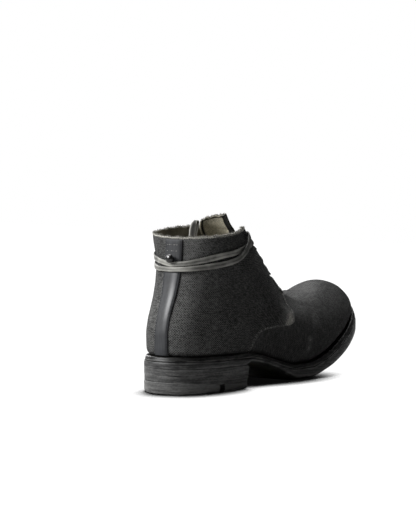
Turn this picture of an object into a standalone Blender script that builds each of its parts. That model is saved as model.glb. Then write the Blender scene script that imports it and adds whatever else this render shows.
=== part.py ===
"""Lace-up ankle boot, right foot: a hollow canvas upper on a welted leather sole and a stacked heel.

The tables are in millimetres in the boot's own frame: y runs from the back of the sole to the toe,
x is 0 on the middle line and grows towards the outer side, z is height above the floor. The last is
a stack of closed levels, from the feather line on the welt to the collar. Every piece that lies on
the upper is read from that one surface.
"""

import math
from collections import namedtuple

import bmesh
import bpy
import numpy as np
from mathutils import Matrix, Vector

for item in list(bpy.data.objects):
    bpy.data.objects.remove(item, do_unlink=True)

MM = 0.001

# Driving dimensions
SOLE_LENGTH = 297.0
WALL = 2.2
QUARTER_STEP = 1.3
GAP = 0.3
WELT_THICKNESS = 4.5
WELT_INSET = 0.9
TOE_SWING = -5.0
SWING_START = 150.0

# Sole seen from the side: height of its underside on the middle line, its thickness, and how far
# and how high the lower edge is bevelled
SideRow = namedtuple("SideRow", "y underside thickness bevel_in bevel_up")
SOLE_SIDE = (
    SideRow(0.0, 23.2, 6.0, 0.5, 0.5),
    SideRow(80.0, 21.2, 6.4, 0.5, 0.5),
    SideRow(90.0, 20.6, 6.6, 8.0, 4.6),
    SideRow(104.0, 18.0, 6.8, 10.0, 5.2),
    SideRow(130.0, 10.2, 8.0, 11.0, 6.0),
    SideRow(148.0, 3.0, 9.8, 10.0, 4.6),
    SideRow(160.0, 0.0, 10.6, 9.0, 3.6),
    SideRow(176.0, 0.0, 11.0, 8.0, 3.2),
    SideRow(200.0, 6.2, 11.0, 6.0, 3.0),
    SideRow(232.0, 18.7, 12.3, 5.0, 2.8),
    SideRow(262.0, 33.4, 12.6, 4.0, 2.6),
    SideRow(297.0, 50.0, 11.5, 3.0, 2.4),
)
FOREFOOT_FLAT = (160.0, 176.0)

# Half widths at four stations along a level, outer then inner side, with the radius of each end
Level = namedtuple(
    "Level",
    "back_rise front_rise back_y front_y back_radius front_radius "
    "heel_out waist_out ball_out toe_out heel_in waist_in ball_in toe_in",
)
STATION_ANGLES = np.radians([45.0, 80.0, 115.0, 145.0])

SOLE_OUTLINE = Level(0, 0, 0, SOLE_LENGTH, 42, 48, 38.0, 40.5, 53.5, 42.0, 37.5, 32.5, 50.5, 42.5)

# The last, one row a level: rises are heights above the feather line at the back and at the front
LAST = (
    Level(0, 0, 5.5, 290, 37.5, 42, 34.5, 36.5, 47.5, 36.5, 34.0, 28.5, 45.0, 36.5),
    Level(8, 4.5, 4.2, 292.5, 38.5, 44, 36.0, 38.5, 49.5, 39.0, 35.5, 31.0, 47.0, 39.0),
    Level(19, 10, 4.2, 290, 39.0, 42, 36.5, 39.5, 50.0, 39.0, 36.0, 32.5, 47.5, 39.5),
    Level(31, 20.5, 6.5, 282.5, 38.5, 34, 36.5, 40.0, 47.5, 34.5, 36.0, 33.5, 45.0, 35.5),
    Level(43, 31, 11.0, 268, 37.5, 26, 36.0, 39.5, 43.5, 28.5, 35.5, 34.0, 41.5, 29.5),
    Level(55, 40.5, 16.0, 247.5, 37.0, 20, 36.0, 39.0, 38.5, 23.0, 35.5, 34.5, 37.0, 24.0),
    Level(67, 46.8, 19.5, 221, 37.5, 16, 35.5, 38.5, 33.0, 18.0, 35.0, 35.0, 32.5, 18.0),
    Level(81, 57.5, 22.5, 195, 39.0, 14, 35.0, 39.0, 29.5, 15.5, 34.5, 37.0, 29.5, 15.5),
    Level(95, 97, 24.0, 147, 40.0, 15, 34.0, 39.5, 28.8, 15.7, 34.0, 38.5, 30.0, 16.5),
    Level(108, 117, 25.0, 112, 41.0, 17, 32.5, 40.0, 30.4, 17.2, 32.5, 39.5, 33.0, 19.5),
    Level(123, 133, 26.0, 97, 40.0, 17, 31.0, 39.0, 29.4, 17.2, 31.0, 38.5, 32.0, 19.5),
)
COLLAR_LEVEL = 9.0
# Levels over which the wall turns upright towards its two open edges
EDGE_LEVELS = 0.5
SEARCH_STEPS = 40
FRONT_LIMIT = math.radians(110)
BACK_LIMIT = math.radians(70)


def smooth_curve(xs, ys):
    """A monotone cubic through a short table, flat where two rows are equal."""
    xs = np.asarray(xs, float)
    ys = np.asarray(ys, float)
    steps = np.diff(xs)
    slopes = np.diff(ys) / steps
    tangents = np.empty(len(xs))
    tangents[0] = slopes[0]
    tangents[-1] = slopes[-1]
    for i in range(1, len(xs) - 1):
        before, after = slopes[i - 1], slopes[i]
        if before * after <= 0:
            tangents[i] = 0.0
        else:
            w1 = 2 * steps[i] + steps[i - 1]
            w2 = steps[i] + 2 * steps[i - 1]
            tangents[i] = (w1 + w2) / (w1 / before + w2 / after)

    def at(x):
        i = int(np.clip(np.searchsorted(xs, x) - 1, 0, len(steps) - 1))
        t = (x - xs[i]) / steps[i]
        rise = (2 * t**3 - 3 * t**2 + 1) * ys[i] + (3 * t**2 - 2 * t**3) * ys[i + 1]
        bend = (t**3 - 2 * t**2 + t) * tangents[i] + (t**3 - t**2) * tangents[i + 1]
        return rise + steps[i] * bend

    return at


def table_curve(rows, key, value):
    return smooth_curve([getattr(r, key) for r in rows], [getattr(r, value) for r in rows])


underside = table_curve(SOLE_SIDE, "y", "underside")
outsole_thickness = table_curve(SOLE_SIDE, "y", "thickness")
bevel_in = table_curve(SOLE_SIDE, "y", "bevel_in")
bevel_up = table_curve(SOLE_SIDE, "y", "bevel_up")
last_columns = [smooth_curve(range(len(LAST)), [row[c] for row in LAST]) for c in range(len(LAST[0]))]


def outsole_top(y):
    return underside(y) + outsole_thickness(y)


def welt_top(y):
    return outsole_top(y) + GAP + WELT_THICKNESS


def feather(y):
    """Height of the upper's lower edge."""
    return welt_top(y) + GAP


def level_plan(level, turn, inset=0.0):
    """Plan position on a level: turn is 0 at the back, pi at the toe, negative on the inner side."""
    angle = abs(turn)
    back = level.back_y + inset
    half = (level.front_y - inset - back) / 2
    side = level[6:10] if turn >= 0 else level[10:14]
    ends = (
        math.sqrt(max(level.back_radius - inset, 1.0) * half),
        math.sqrt(max(level.front_radius - inset, 1.0) * half),
    )
    inner = [(w - inset) / math.sin(a) for w, a in zip(side, STATION_ANGLES)]
    swell = smooth_curve([0.0, *STATION_ANGLES, math.pi], [ends[0], *inner, ends[1]])
    y = back + half * (1 - math.cos(angle))
    swing = TOE_SWING * max(0.0, (y - SWING_START) / (SOLE_LENGTH - SWING_START)) ** 2
    x = math.copysign(1.0, turn) * math.sin(angle) * swell(angle) + swing
    return x, y


def last_point(turn, height):
    """A point of the last's surface at a height counted in levels."""
    level = Level(*(column(height) for column in last_columns))
    x, y = level_plan(level, turn)
    share = (1 - math.cos(turn)) / 2
    rise = level.back_rise + (level.front_rise - level.back_rise) * share
    return np.array([x, y, feather(y) + rise])


def last_normal(turn, height):
    """The outward direction there, level at the two open edges so that they stay flat."""
    small = 0.01
    along = last_point(turn + small, height) - last_point(turn - small, height)
    low = max(height - small, 0.0)
    up = last_point(turn, height + small) - last_point(turn, low)
    normal = np.cross(along, up)
    edge = min(height, abs(COLLAR_LEVEL - height), EDGE_LEVELS) / EDGE_LEVELS
    normal[2] *= edge
    return normal / np.linalg.norm(normal)


def on_last(turn, height, out):
    """A point that stands out from the last's surface by a distance."""
    return last_point(turn, height) + out * last_normal(turn, height)


def turn_at_width(height, x, front=True):
    """The turn, on the outer side, where a level is x wide, searched from its front or back end."""
    near, far = (math.pi, FRONT_LIMIT) if front else (0.0, BACK_LIMIT)
    for _ in range(SEARCH_STEPS):
        middle = (near + far) / 2
        width = (last_point(middle, height)[0] - last_point(-middle, height)[0]) / 2
        near, far = (middle, far) if width < x else (near, middle)
    return near


OUTLINE_TURNS = np.linspace(-math.pi, math.pi, 241)
OUTLINE_X = [level_plan(SOLE_OUTLINE, t)[0] for t in OUTLINE_TURNS]
MIDDLE_X = (max(OUTLINE_X) + min(OUTLINE_X)) / 2


def in_frame(point):
    """Millimetres in the boot's frame to metres about the middle of its footprint."""
    return Vector(((point[0] - MIDDLE_X) * MM, (point[1] - SOLE_LENGTH / 2) * MM, point[2] * MM))


def finish(name, colour, roughness, metallic=0.0):
    material = bpy.data.materials.new(name)
    material.use_nodes = True
    shader = material.node_tree.nodes["Principled BSDF"]
    shader.inputs["Base Color"].default_value = (*colour, 1.0)
    shader.inputs["Roughness"].default_value = roughness
    shader.inputs["Metallic"].default_value = metallic
    return material


CANVAS = finish("waxed_canvas", (0.035, 0.035, 0.034), 0.85)
STRIP_LEATHER = finish("strip_leather", (0.055, 0.06, 0.068), 0.42)
SOLE_LEATHER = finish("sole_leather", (0.03, 0.03, 0.028), 0.55)
HEEL_LEATHER = finish("heel_leather", (0.05, 0.05, 0.05), 0.6)
HEEL_RUBBER = finish("heel_rubber", (0.045, 0.045, 0.045), 0.7)
LINING = finish("lining", (0.14, 0.13, 0.09), 0.9)
LACE_LEATHER = finish("lace_leather", (0.14, 0.135, 0.12), 0.75)
STUD_METAL = finish("stud_metal", (0.01, 0.01, 0.01), 0.25, 0.6)


def make_object(name, bm, material, parent):
    bmesh.ops.remove_doubles(bm, verts=bm.verts, dist=0.00001)
    bmesh.ops.dissolve_degenerate(bm, edges=bm.edges, dist=0.000005)
    bmesh.ops.recalc_face_normals(bm, faces=bm.faces)
    bmesh.ops.triangulate(bm, faces=bm.faces)
    mesh = bpy.data.meshes.new(name)
    bm.to_mesh(mesh)
    bm.free()
    mesh.shade_smooth()
    mesh.set_sharp_from_angle(angle=math.radians(40))
    item = bpy.data.objects.new(name, mesh)
    item.data.materials.append(material)
    item.parent = parent
    bpy.context.collection.objects.link(item)
    return item


def band_mesh(columns, closed):
    """A closed body from cross-sections: each is a closed loop, and the run of them is closed or capped."""
    bm = bmesh.new()
    loops = [[bm.verts.new(in_frame(p)) for p in column] for column in columns]
    size = len(loops[0])
    last = len(loops) if closed else len(loops) - 1
    for i in range(last):
        here, after = loops[i], loops[(i + 1) % len(loops)]
        for j in range(size):
            k = (j + 1) % size
            bm.faces.new((here[j], here[k], after[k], after[j]))
    if not closed:
        for loop in (loops[0], loops[-1]):
            for j in range(size // 2 - 1):
                bm.faces.new((loop[j], loop[j + 1], loop[size - 2 - j], loop[size - 1 - j]))
    return bm


def shell_section(turn, heights, outer, inner):
    """One cross-section of a wall on the last: up its outside and down its inside."""
    up = [on_last(turn, h, outer) for h in heights]
    down = [on_last(turn, h, inner) for h in reversed(heights)]
    return up + down


def cut(target, tool, operation="DIFFERENCE"):
    """Applies a Boolean, with the tool kept as a wire guide."""
    tool.hide_render = True
    tool.display_type = "WIRE"
    modifier = target.modifiers.new(tool.name, "BOOLEAN")
    modifier.operation = operation
    modifier.solver = "EXACT"
    modifier.object = tool


def prism(name, outline, across, parent):
    """A guide solid: a closed outline of points, each carried along a vector on both sides."""
    bm = bmesh.new()
    rings = []
    for sign in (-1, 1):
        rings.append([bm.verts.new(in_frame(p + sign * across)) for p in outline])
    size = len(outline)
    for j in range(size):
        k = (j + 1) % size
        bm.faces.new((rings[0][j], rings[0][k], rings[1][k], rings[1][j]))
    for ring in rings:
        bm.faces.new(ring)
    return make_object(name, bm, CANVAS, parent)


# Sole: heel stack, outsole, welt and insole

HEEL_BREAST_Y = 86.0
BREAST_SLANT = 4.0
# Top piece, floor upwards: share of the heel's slant, inset from the sole's outline, height at the back
# and how much lower it gets for each millimetre towards the front
HeelRing = namedtuple("HeelRing", "share inset back_height taper")
TOP_PIECE = (
    HeelRing(0.0, 2.6, 0.0, 0.0),
    HeelRing(0.05, 0.8, 0.8, 0.0),
    HeelRing(0.1, 0.0, 2.6, 0.0),
    HeelRing(0.24, 0.0, 10.6, 0.065),
    HeelRing(0.26, 0.3, 11.0, 0.065),
)
TOP_PIECE_SHARE = TOP_PIECE[-1].share
LIFT_EDGE_IN = 0.3
LIFT_EDGE_UP = 0.6
SLOT_Y = 45.5
SLOT_WIDTH = 5.6
SLOT_HEIGHT = 7.2
SLOT_REACH = 80.0
OUTSOLE_EDGE_IN = 0.4
OUTSOLE_EDGE_DOWN = 1.0
WELT_LOW_IN = 0.4
WELT_HIGH_IN = 0.8
WELT_WIDEST = 0.45
HeelLayer = namedtuple("HeelLayer", "name bottom top inset material")
HEEL_LAYERS = (
    HeelLayer("heel_lift_lower", 0.0, 0.5, 0.5, HEEL_LEATHER),
    HeelLayer("heel_lift_upper", 0.5, 1.0, 0.2, HEEL_LEATHER),
)
SOLE_STEPS = 28
HEEL_STEPS = 16


def sole_turns():
    """Turns from heel to toe, with stations at both ends of the forefoot's flat spot."""
    half = SOLE_LENGTH / 2
    flat = [math.acos(1 - y / half) for y in FOREFOOT_FLAT]
    even = [t for t in np.linspace(0, math.pi, SOLE_STEPS + 1) if min(abs(t - f) for f in flat) > 0.04]
    return sorted(even + flat)


def outsole_section(turn):
    """Bottom, bevelled edge and side on the inner then the outer side, then the top back across."""
    y = level_plan(SOLE_OUTLINE, turn)[1]
    edge = []
    for sign in (-1, 1):
        bottom = level_plan(SOLE_OUTLINE, sign * turn, bevel_in(y))
        side = level_plan(SOLE_OUTLINE, sign * turn)
        top = level_plan(SOLE_OUTLINE, sign * turn, OUTSOLE_EDGE_IN)
        points = [
            (*bottom, underside(bottom[1])),
            (*side, underside(side[1]) + bevel_up(y)),
            (*side, outsole_top(side[1]) - OUTSOLE_EDGE_DOWN),
            (*top, outsole_top(top[1])),
        ]
        edge.append(points)
    return edge[1] + edge[0][::-1]


def build_outsole(parent):
    columns = [outsole_section(t) for t in sole_turns()]
    return make_object("outsole", band_mesh(columns, False), SOLE_LEATHER, parent)


def welt_section(turn):
    """A flat strip with a rounded outer edge, from the sole's outline to the upper's inner wall."""
    low = level_plan(SOLE_OUTLINE, turn, WELT_INSET + WELT_LOW_IN)
    middle = level_plan(SOLE_OUTLINE, turn, WELT_INSET)
    high = level_plan(SOLE_OUTLINE, turn, WELT_INSET + WELT_HIGH_IN)
    inner = on_last(turn, 0.0, -WALL)[:2]
    return [
        (*low, outsole_top(low[1]) + GAP),
        (*middle, outsole_top(middle[1]) + GAP + WELT_WIDEST * WELT_THICKNESS),
        (*high, welt_top(high[1])),
        (*inner, welt_top(inner[1])),
        (*inner, outsole_top(inner[1]) + GAP),
    ]


def around():
    """The sole's turns on the outer side, then back on the inner side."""
    forward = sole_turns()
    return forward + [-t for t in forward[-2:0:-1]]


def build_welt(parent):
    return make_object("welt", band_mesh([welt_section(t) for t in around()], True), SOLE_LEATHER, parent)


INSOLE_RISE = 2.4


def build_insole(parent):
    columns = []
    for turn in sole_turns():
        outer = on_last(turn, 0.0, -WALL - 2 * GAP)[:2]
        inner = on_last(-turn, 0.0, -WALL - 2 * GAP)[:2]
        columns.append(
            [
                (*outer, outsole_top(outer[1]) + GAP),
                (*outer, feather(outer[1]) + INSOLE_RISE),
                (*inner, feather(inner[1]) + INSOLE_RISE),
                (*inner, outsole_top(inner[1]) + GAP),
            ]
        )
    return make_object("insole", band_mesh(columns, False), LINING, parent)


def heel_turns(front_y, inset):
    """Turns from the back of the heel to its straight front."""
    half = SOLE_LENGTH / 2 - inset
    return np.linspace(0, math.acos(1 - (front_y - inset) / half), HEEL_STEPS + 1)


def heel_breast(share):
    """The front of the heel stands further back at the floor than under the sole."""
    return HEEL_BREAST_Y - BREAST_SLANT * (1 - share)


def heel_columns(rings):
    """Cross-sections of a heel layer from (share of height, inset, height function) rings."""
    columns = []
    for step in range(HEEL_STEPS + 1):
        outer, inner = [], []
        for share, inset, height in rings:
            turn = heel_turns(heel_breast(share), inset)[step]
            for sign, side in ((1, outer), (-1, inner)):
                x, y = level_plan(SOLE_OUTLINE, sign * turn, inset)
                side.append((x, y, height(y)))
        columns.append(outer + inner[::-1])
    return columns


def ring_height(ring):
    """Height of a ring of the top piece along the heel."""
    return lambda y: ring.back_height - ring.taper * y


def lift_height(share):
    """Height in the stack between the top piece and the outsole, at a share of that distance."""

    def at(y):
        low = ring_height(TOP_PIECE[-1])(y) + GAP
        return low + share * (underside(y) - GAP - low)

    return at


def build_heel_lifts(parent):
    for layer in HEEL_LAYERS:
        low = lift_height(layer.bottom)
        high = lift_height(layer.top)
        trim = 0.0 if layer.top == 1.0 else GAP
        shares = [TOP_PIECE_SHARE + (1 - TOP_PIECE_SHARE) * s for s in (layer.bottom, layer.top)]
        rings = [
            (shares[0], layer.inset + LIFT_EDGE_IN, low),
            (shares[0], layer.inset, lambda y, f=low: f(y) + LIFT_EDGE_UP),
            (shares[1], layer.inset, lambda y, f=high, g=trim: f(y) - g - LIFT_EDGE_UP),
            (shares[1], layer.inset + LIFT_EDGE_IN, lambda y, f=high, g=trim: f(y) - g),
        ]
        make_object(layer.name, band_mesh(heel_columns(rings), False), layer.material, parent)


def build_top_piece(parent):
    rings = [(ring.share, ring.inset, ring_height(ring)) for ring in TOP_PIECE]
    piece = make_object("heel_top_piece", band_mesh(heel_columns(rings), False), HEEL_RUBBER, parent)
    half = SLOT_WIDTH / 2
    corners = ((-half, -SLOT_HEIGHT), (half, -SLOT_HEIGHT), (half, SLOT_HEIGHT), (-half, SLOT_HEIGHT))
    outline = [np.array([0.0, SLOT_Y + y, z]) for y, z in corners]
    cut(piece, prism("slot_guide", outline, np.array([SLOT_REACH, 0, 0]), parent))
    return piece


# Upper: vamp wall, quarters as a step over it, throat and lace holes

UPPER_LEVELS = (0.0, 0.5, 1.2, 2.0, 2.7, 3.4, 4.1, 4.8, 5.5, 6.1, 6.6, 7.0, 7.3, 7.65, 8.0, 8.35, 8.7, 9.0)
QUARTER_EDGE_SETBACK = 0.06
QUARTER_REACH = 90.0

# The quarter's lower front edge seen from the side
EdgeRow = namedtuple("EdgeRow", "y z")
QUARTER_EDGE = (
    EdgeRow(87.0, 20.0),
    EdgeRow(91.0, 35.0),
    EdgeRow(98.0, 45.0),
    EdgeRow(108.0, 51.5),
    EdgeRow(122.0, 52.8),
    EdgeRow(148.0, 53.5),
    EdgeRow(153.5, 55.0),
    EdgeRow(158.0, 61.0),
    EdgeRow(164.0, 70.0),
    EdgeRow(178.0, 77.5),
    EdgeRow(188.0, 84.0),
    EdgeRow(215.0, 112.0),
)
QUARTER_FAR = (EdgeRow(215.0, 190.0), EdgeRow(-40.0, 190.0), EdgeRow(-40.0, 20.0))

# Half the gap between the facings, along the throat
ThroatRow = namedtuple("ThroatRow", "height half_gap")
THROAT = (
    ThroatRow(7.0, 3.0),
    ThroatRow(7.25, 6.0),
    ThroatRow(8.0, 9.5),
    ThroatRow(8.5, 12.5),
    ThroatRow(9.0, 18.0),
    ThroatRow(9.6, 23.0),
)
THROAT_DEPTH = 26.0
EYELET_LEVELS = (7.2, 7.45, 7.7, 7.95)
EYELET_SETBACK = 9.0
EYELET_RADIUS = 2.0
EYELET_SIDES = 10
EYELET_DEPTH = 12.0
half_gap = table_curve(THROAT, "height", "half_gap")


def build_upper(parent):
    wall = [shell_section(t, UPPER_LEVELS, 0.0, -WALL) for t in around()]
    upper = make_object("upper", band_mesh(wall, True), CANVAS, parent)
    heights = [
        min(max(h, QUARTER_EDGE_SETBACK), COLLAR_LEVEL - QUARTER_EDGE_SETBACK) for h in UPPER_LEVELS
    ]
    raised = [shell_section(t, heights, QUARTER_STEP, -WALL / 2) for t in around()]
    quarters = make_object("quarter_guide", band_mesh(raised, True), CANVAS, parent)
    outline = [np.array([0.0, r.y, r.z]) for r in QUARTER_EDGE + QUARTER_FAR]
    cut(quarters, prism("quarter_outline_guide", outline, np.array([QUARTER_REACH, 0, 0]), parent), "INTERSECT")
    cut(upper, quarters, "UNION")
    cut(upper, throat_guide(parent))
    cut(upper, eyelet_guide(parent))
    return upper


def throat_guide(parent):
    """A tapered slot over the instep, cut square to its slope."""
    low = last_point(math.pi, THROAT[0].height)
    high = last_point(math.pi, COLLAR_LEVEL)
    slope = (high - low) / np.linalg.norm(high - low)
    square = np.cross(np.array([1.0, 0, 0]), slope)
    outer, inner = [], []
    for row in THROAT:
        place = last_point(math.pi, row.height)
        outer.append(place + np.array([row.half_gap, 0, 0]))
        inner.append(place - np.array([row.half_gap, 0, 0]))
    return prism("throat_guide", outer + inner[::-1], THROAT_DEPTH * square, parent)


def eyelet_place(height, sign):
    turn = sign * turn_at_width(height, half_gap(height) + EYELET_SETBACK)
    return turn, last_point(turn, height), last_normal(turn, height)


def eyelet_guide(parent):
    """Round punches through both facings, joined in one guide."""
    bm = bmesh.new()
    for height in EYELET_LEVELS:
        for sign in (-1, 1):
            _, place, normal = eyelet_place(height, sign)
            facing = Vector((0, 0, 1)).rotation_difference(Vector(normal)).to_matrix().to_4x4()
            bmesh.ops.create_cone(
                bm,
                cap_ends=True,
                segments=EYELET_SIDES,
                radius1=EYELET_RADIUS * MM,
                radius2=EYELET_RADIUS * MM,
                depth=EYELET_DEPTH * MM,
                matrix=Matrix.Translation(in_frame(place)) @ facing,
            )
    return make_object("eyelet_guide", bm, CANVAS, parent)


# Back strip, tongue and stud

STRIP_THICKNESS = 1.5
StripRow = namedtuple("StripRow", "height half_width")
STRIP = (
    StripRow(0.1, 7.2),
    StripRow(1.0, 7.2),
    StripRow(2.0, 7.0),
    StripRow(3.5, 7.2),
    StripRow(5.0, 8.0),
    StripRow(7.0, 9.0),
    StripRow(8.85, 9.2),
)
STRIP_LEVELS = (0.1, 0.6, 1.2, 2.0, 2.8, 3.6, 4.4, 5.2, 6.0, 6.8, 7.6, 8.2, 8.85)
STRIP_STEPS = 6
STRIP_BASE = QUARTER_STEP + GAP
strip_half = table_curve(STRIP, "height", "half_width")


def strip_turn(height, across):
    """The turn at a signed distance across the strip, in shares of its half width."""
    return math.copysign(turn_at_width(height, abs(across) * strip_half(height), False), across)


def build_back_strip(parent):
    columns = []
    for across in np.linspace(-1, 1, STRIP_STEPS + 1):
        up, down = [], []
        for height in STRIP_LEVELS:
            turn = strip_turn(height, across)
            up.append(on_last(turn, height, STRIP_BASE + STRIP_THICKNESS))
            down.append(on_last(turn, height, STRIP_BASE))
        columns.append(up + down[::-1])
    return make_object("back_strip", band_mesh(columns, False), STRIP_LEATHER, parent)


TONGUE_THICKNESS = 2.0
TongueRow = namedtuple("TongueRow", "height outer inner")
TONGUE = (
    TongueRow(6.75, 15.5, 15.5),
    TongueRow(7.0, 16.0, 16.5),
    TongueRow(7.3, 17.0, 18.0),
    TongueRow(7.65, 18.0, 20.0),
    TongueRow(8.0, 17.5, 22.5),
    TongueRow(8.35, 15.5, 24.5),
    TongueRow(8.7, 12.0, 25.5),
    TongueRow(9.0, 9.5, 25.0),
    TongueRow(9.4, 8.5, 23.0),
    TongueRow(9.8, 8.5, 20.5),
)
TONGUE_STEPS = 10
TONGUE_OUT = -WALL - 0.9
TONGUE_CORNER_DROP = 0.3
TONGUE_DROP_START = 8.6


def build_tongue(parent):
    """A curved sheet under the facings that stands above the collar, lower at its inner corner."""
    columns = []
    for across in np.linspace(-1, 1, TONGUE_STEPS + 1):
        up, down = [], []
        for row in TONGUE:
            drop = TONGUE_CORNER_DROP * max(0.0, row.height - TONGUE_DROP_START) * max(0.0, -across) ** 2
            height = row.height - drop
            width = across * (row.outer if across > 0 else row.inner)
            turn = turn_at_width(height, abs(width))
            turn = turn if across >= 0 else -turn
            up.append(on_last(turn, height, TONGUE_OUT))
            down.append(on_last(turn, height, TONGUE_OUT - TONGUE_THICKNESS))
        columns.append(up + down[::-1])
    return make_object("tongue", band_mesh(columns, False), LINING, parent)


STUD_LEVEL = 7.5
StudRow = namedtuple("StudRow", "radius out")
STUD = (
    StudRow(0.0, 0.0),
    StudRow(2.0, 0.0),
    StudRow(2.0, 2.6),
    StudRow(3.7, 3.2),
    StudRow(4.0, 4.4),
    StudRow(3.2, 5.8),
    StudRow(1.6, 6.5),
    StudRow(0.0, 6.6),
)
STUD_SIDES = 16


def build_stud(parent):
    """A turned stud on a short neck, its axis square to the back strip."""
    place = on_last(0.0, STUD_LEVEL, STRIP_BASE + STRIP_THICKNESS + GAP)
    bm = bmesh.new()
    chain = [bm.verts.new((r.radius * MM, 0, r.out * MM)) for r in STUD]
    edges = [bm.edges.new(pair) for pair in zip(chain, chain[1:])]
    bmesh.ops.spin(
        bm,
        geom=chain + edges,
        cent=(0, 0, 0),
        axis=(0, 0, 1),
        angle=2 * math.pi,
        steps=STUD_SIDES,
        use_merge=True,
    )
    normal = Vector(last_normal(0.0, STUD_LEVEL))
    turn = Vector((0, 0, 1)).rotation_difference(normal).to_matrix().to_4x4()
    bmesh.ops.transform(bm, matrix=Matrix.Translation(in_frame(place)) @ turn, verts=bm.verts)
    return make_object("lace_stud", bm, STUD_METAL, parent)


# Lace: crossings over the throat, two turns round the ankle and a tucked loop

LACE_WIDTH = 4.7
LACE_THICKNESS = 1.5
LACE_SHOULDER = 0.8
LACE_CLEARANCE = 0.65
LACE_REST = QUARTER_STEP + LACE_CLEARANCE + LACE_THICKNESS / 2
BAR_SECTIONS = 7
# Lift and overlap past the lace hole of the lowest straight bar, the under bars and the over bars
BAR_LIFT = (0.4, 0.55, 1.35)
BAR_BEYOND = (0.05, 0.07, 0.09)
BAR_STEP = 0.04
WRAP_SECTIONS = 40
LOOP_SECTIONS = 21

# Routes over the last: turn in degrees, height in levels, how far the lace is lifted off the quarter,
# and its width, which draws in under the stud and at the throat
RouteRow = namedtuple("RouteRow", "turn height lift width")
WRAP_UPPER = (
    RouteRow(222, 8.47, 0.2, 4.7),
    RouteRow(205, 8.48, 0.3, 4.7),
    RouteRow(180, 8.48, 0.3, 4.7),
    RouteRow(165, 8.47, 0.3, 4.7),
    RouteRow(150, 8.46, 0.1, 4.7),
    RouteRow(125, 8.36, 0.0, 5.4),
    RouteRow(100, 8.18, 0.0, 5.8),
    RouteRow(85, 8.06, 0.0, 5.8),
    RouteRow(70, 7.95, 0.0, 5.8),
    RouteRow(53, 7.84, 0.0, 5.8),
    RouteRow(40, 7.68, 0.0, 5.8),
    RouteRow(24, 7.42, 0.2, 5.2),
    RouteRow(12, 7.22, 1.8, 4.7),
    RouteRow(0, 7.14, 1.8, 4.7),
    RouteRow(-12, 7.30, 1.8, 4.7),
    RouteRow(-24, 7.44, 0.2, 5.0),
    RouteRow(-50, 7.70, 0.0, 5.4),
    RouteRow(-70, 7.82, 0.0, 5.4),
    RouteRow(-90, 7.95, 0.0, 5.4),
    RouteRow(-110, 8.15, 0.0, 5.4),
    RouteRow(-122, 8.28, 0.0, 5.4),
)
WRAP_LOWER = (
    RouteRow(154, 8.20, 0.2, 4.7),
    RouteRow(166, 8.19, 0.3, 4.7),
    RouteRow(180, 8.19, 0.3, 4.7),
    RouteRow(195, 8.19, 0.3, 4.7),
    RouteRow(210, 8.18, 0.3, 4.7),
    RouteRow(225, 8.08, 0.2, 4.7),
    RouteRow(240, 7.95, 0.0, 5.0),
    RouteRow(255, 7.78, 0.0, 5.2),
    RouteRow(270, 7.58, 0.0, 5.4),
    RouteRow(290, 7.44, 0.0, 5.4),
    RouteRow(310, 7.30, 0.0, 5.4),
    RouteRow(334, 6.98, 0.2, 5.0),
    RouteRow(347, 6.83, 1.8, 4.7),
    RouteRow(360, 6.79, 1.8, 4.7),
    RouteRow(372, 6.86, 1.8, 4.7),
    RouteRow(384, 7.02, 0.2, 5.2),
    RouteRow(400, 7.28, 0.0, 5.8),
    RouteRow(412, 7.46, 0.2, 5.8),
    RouteRow(426, 7.68, 1.9, 5.8),
    RouteRow(438, 7.92, 2.3, 5.8),
    RouteRow(452, 8.24, 2.3, 5.8),
    RouteRow(468, 8.51, 1.9, 5.6),
    RouteRow(490, 8.68, 0.6, 5.0),
    RouteRow(510, 8.72, 0.0, 4.7),
)
LoopRow = namedtuple("LoopRow", "x y z")
LACE_LOOP = (
    LoopRow(-22.1, 79.7, 112.0),
    LoopRow(-21.7, 80.3, 126.0),
    LoopRow(-21.1, 81.1, 138.0),
    LoopRow(-20.5, 81.9, 146.0),
    LoopRow(-19.9, 83.5, 150.6),
    LoopRow(-20.1, 85.9, 152.3),
    LoopRow(-21.2, 88.0, 150.6),
    LoopRow(-22.2, 88.4, 146.0),
    LoopRow(-23.5, 87.8, 138.0),
    LoopRow(-24.2, 86.9, 127.0),
)
LOOP_WIDTH = 6.0
# The loop bends over its flat side, so its width keeps to one direction
LOOP_ACROSS = np.array([0.81, 0.59, 0.0])


def route_points(rows, sections):
    """Evenly counted rows of a smooth curve through a short table."""
    columns = [smooth_curve(range(len(rows)), [row[c] for row in rows]) for c in range(len(rows[0]))]
    return [[column(i) for column in columns] for i in np.linspace(0, len(rows) - 1, sections)]


def plain_turn(degrees):
    """A turn between -pi and pi."""
    return (math.radians(degrees) + math.pi) % (2 * math.pi) - math.pi


def lace_mesh(places, normals, widths):
    """A flat lace with rounded edges along its places, its flat side turned to the normals."""
    thick = LACE_THICKNESS / 2
    columns = []
    for i, (place, normal, width) in enumerate(zip(places, normals, widths)):
        half = width / 2
        shoulder = LACE_SHOULDER * half
        section = ((half, 0), (shoulder, 1), (-shoulder, 1), (-half, 0), (-shoulder, -1), (shoulder, -1))
        along = places[min(i + 1, len(places) - 1)] - places[max(i - 1, 0)]
        side = np.cross(along, normal)
        side = side / np.linalg.norm(side)
        out = np.cross(side, along)
        out = out / np.linalg.norm(out)
        columns.append([place + a * side + b * thick * out for a, b in section])
    return band_mesh(columns, False)


def lace_on_last(route):
    places, normals, widths = [], [], []
    for turn, height, lift, width in route:
        turn = plain_turn(turn)
        places.append(on_last(turn, height, LACE_REST + lift))
        normals.append(last_normal(turn, height))
        widths.append(width)
    return lace_mesh(places, normals, widths)


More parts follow.
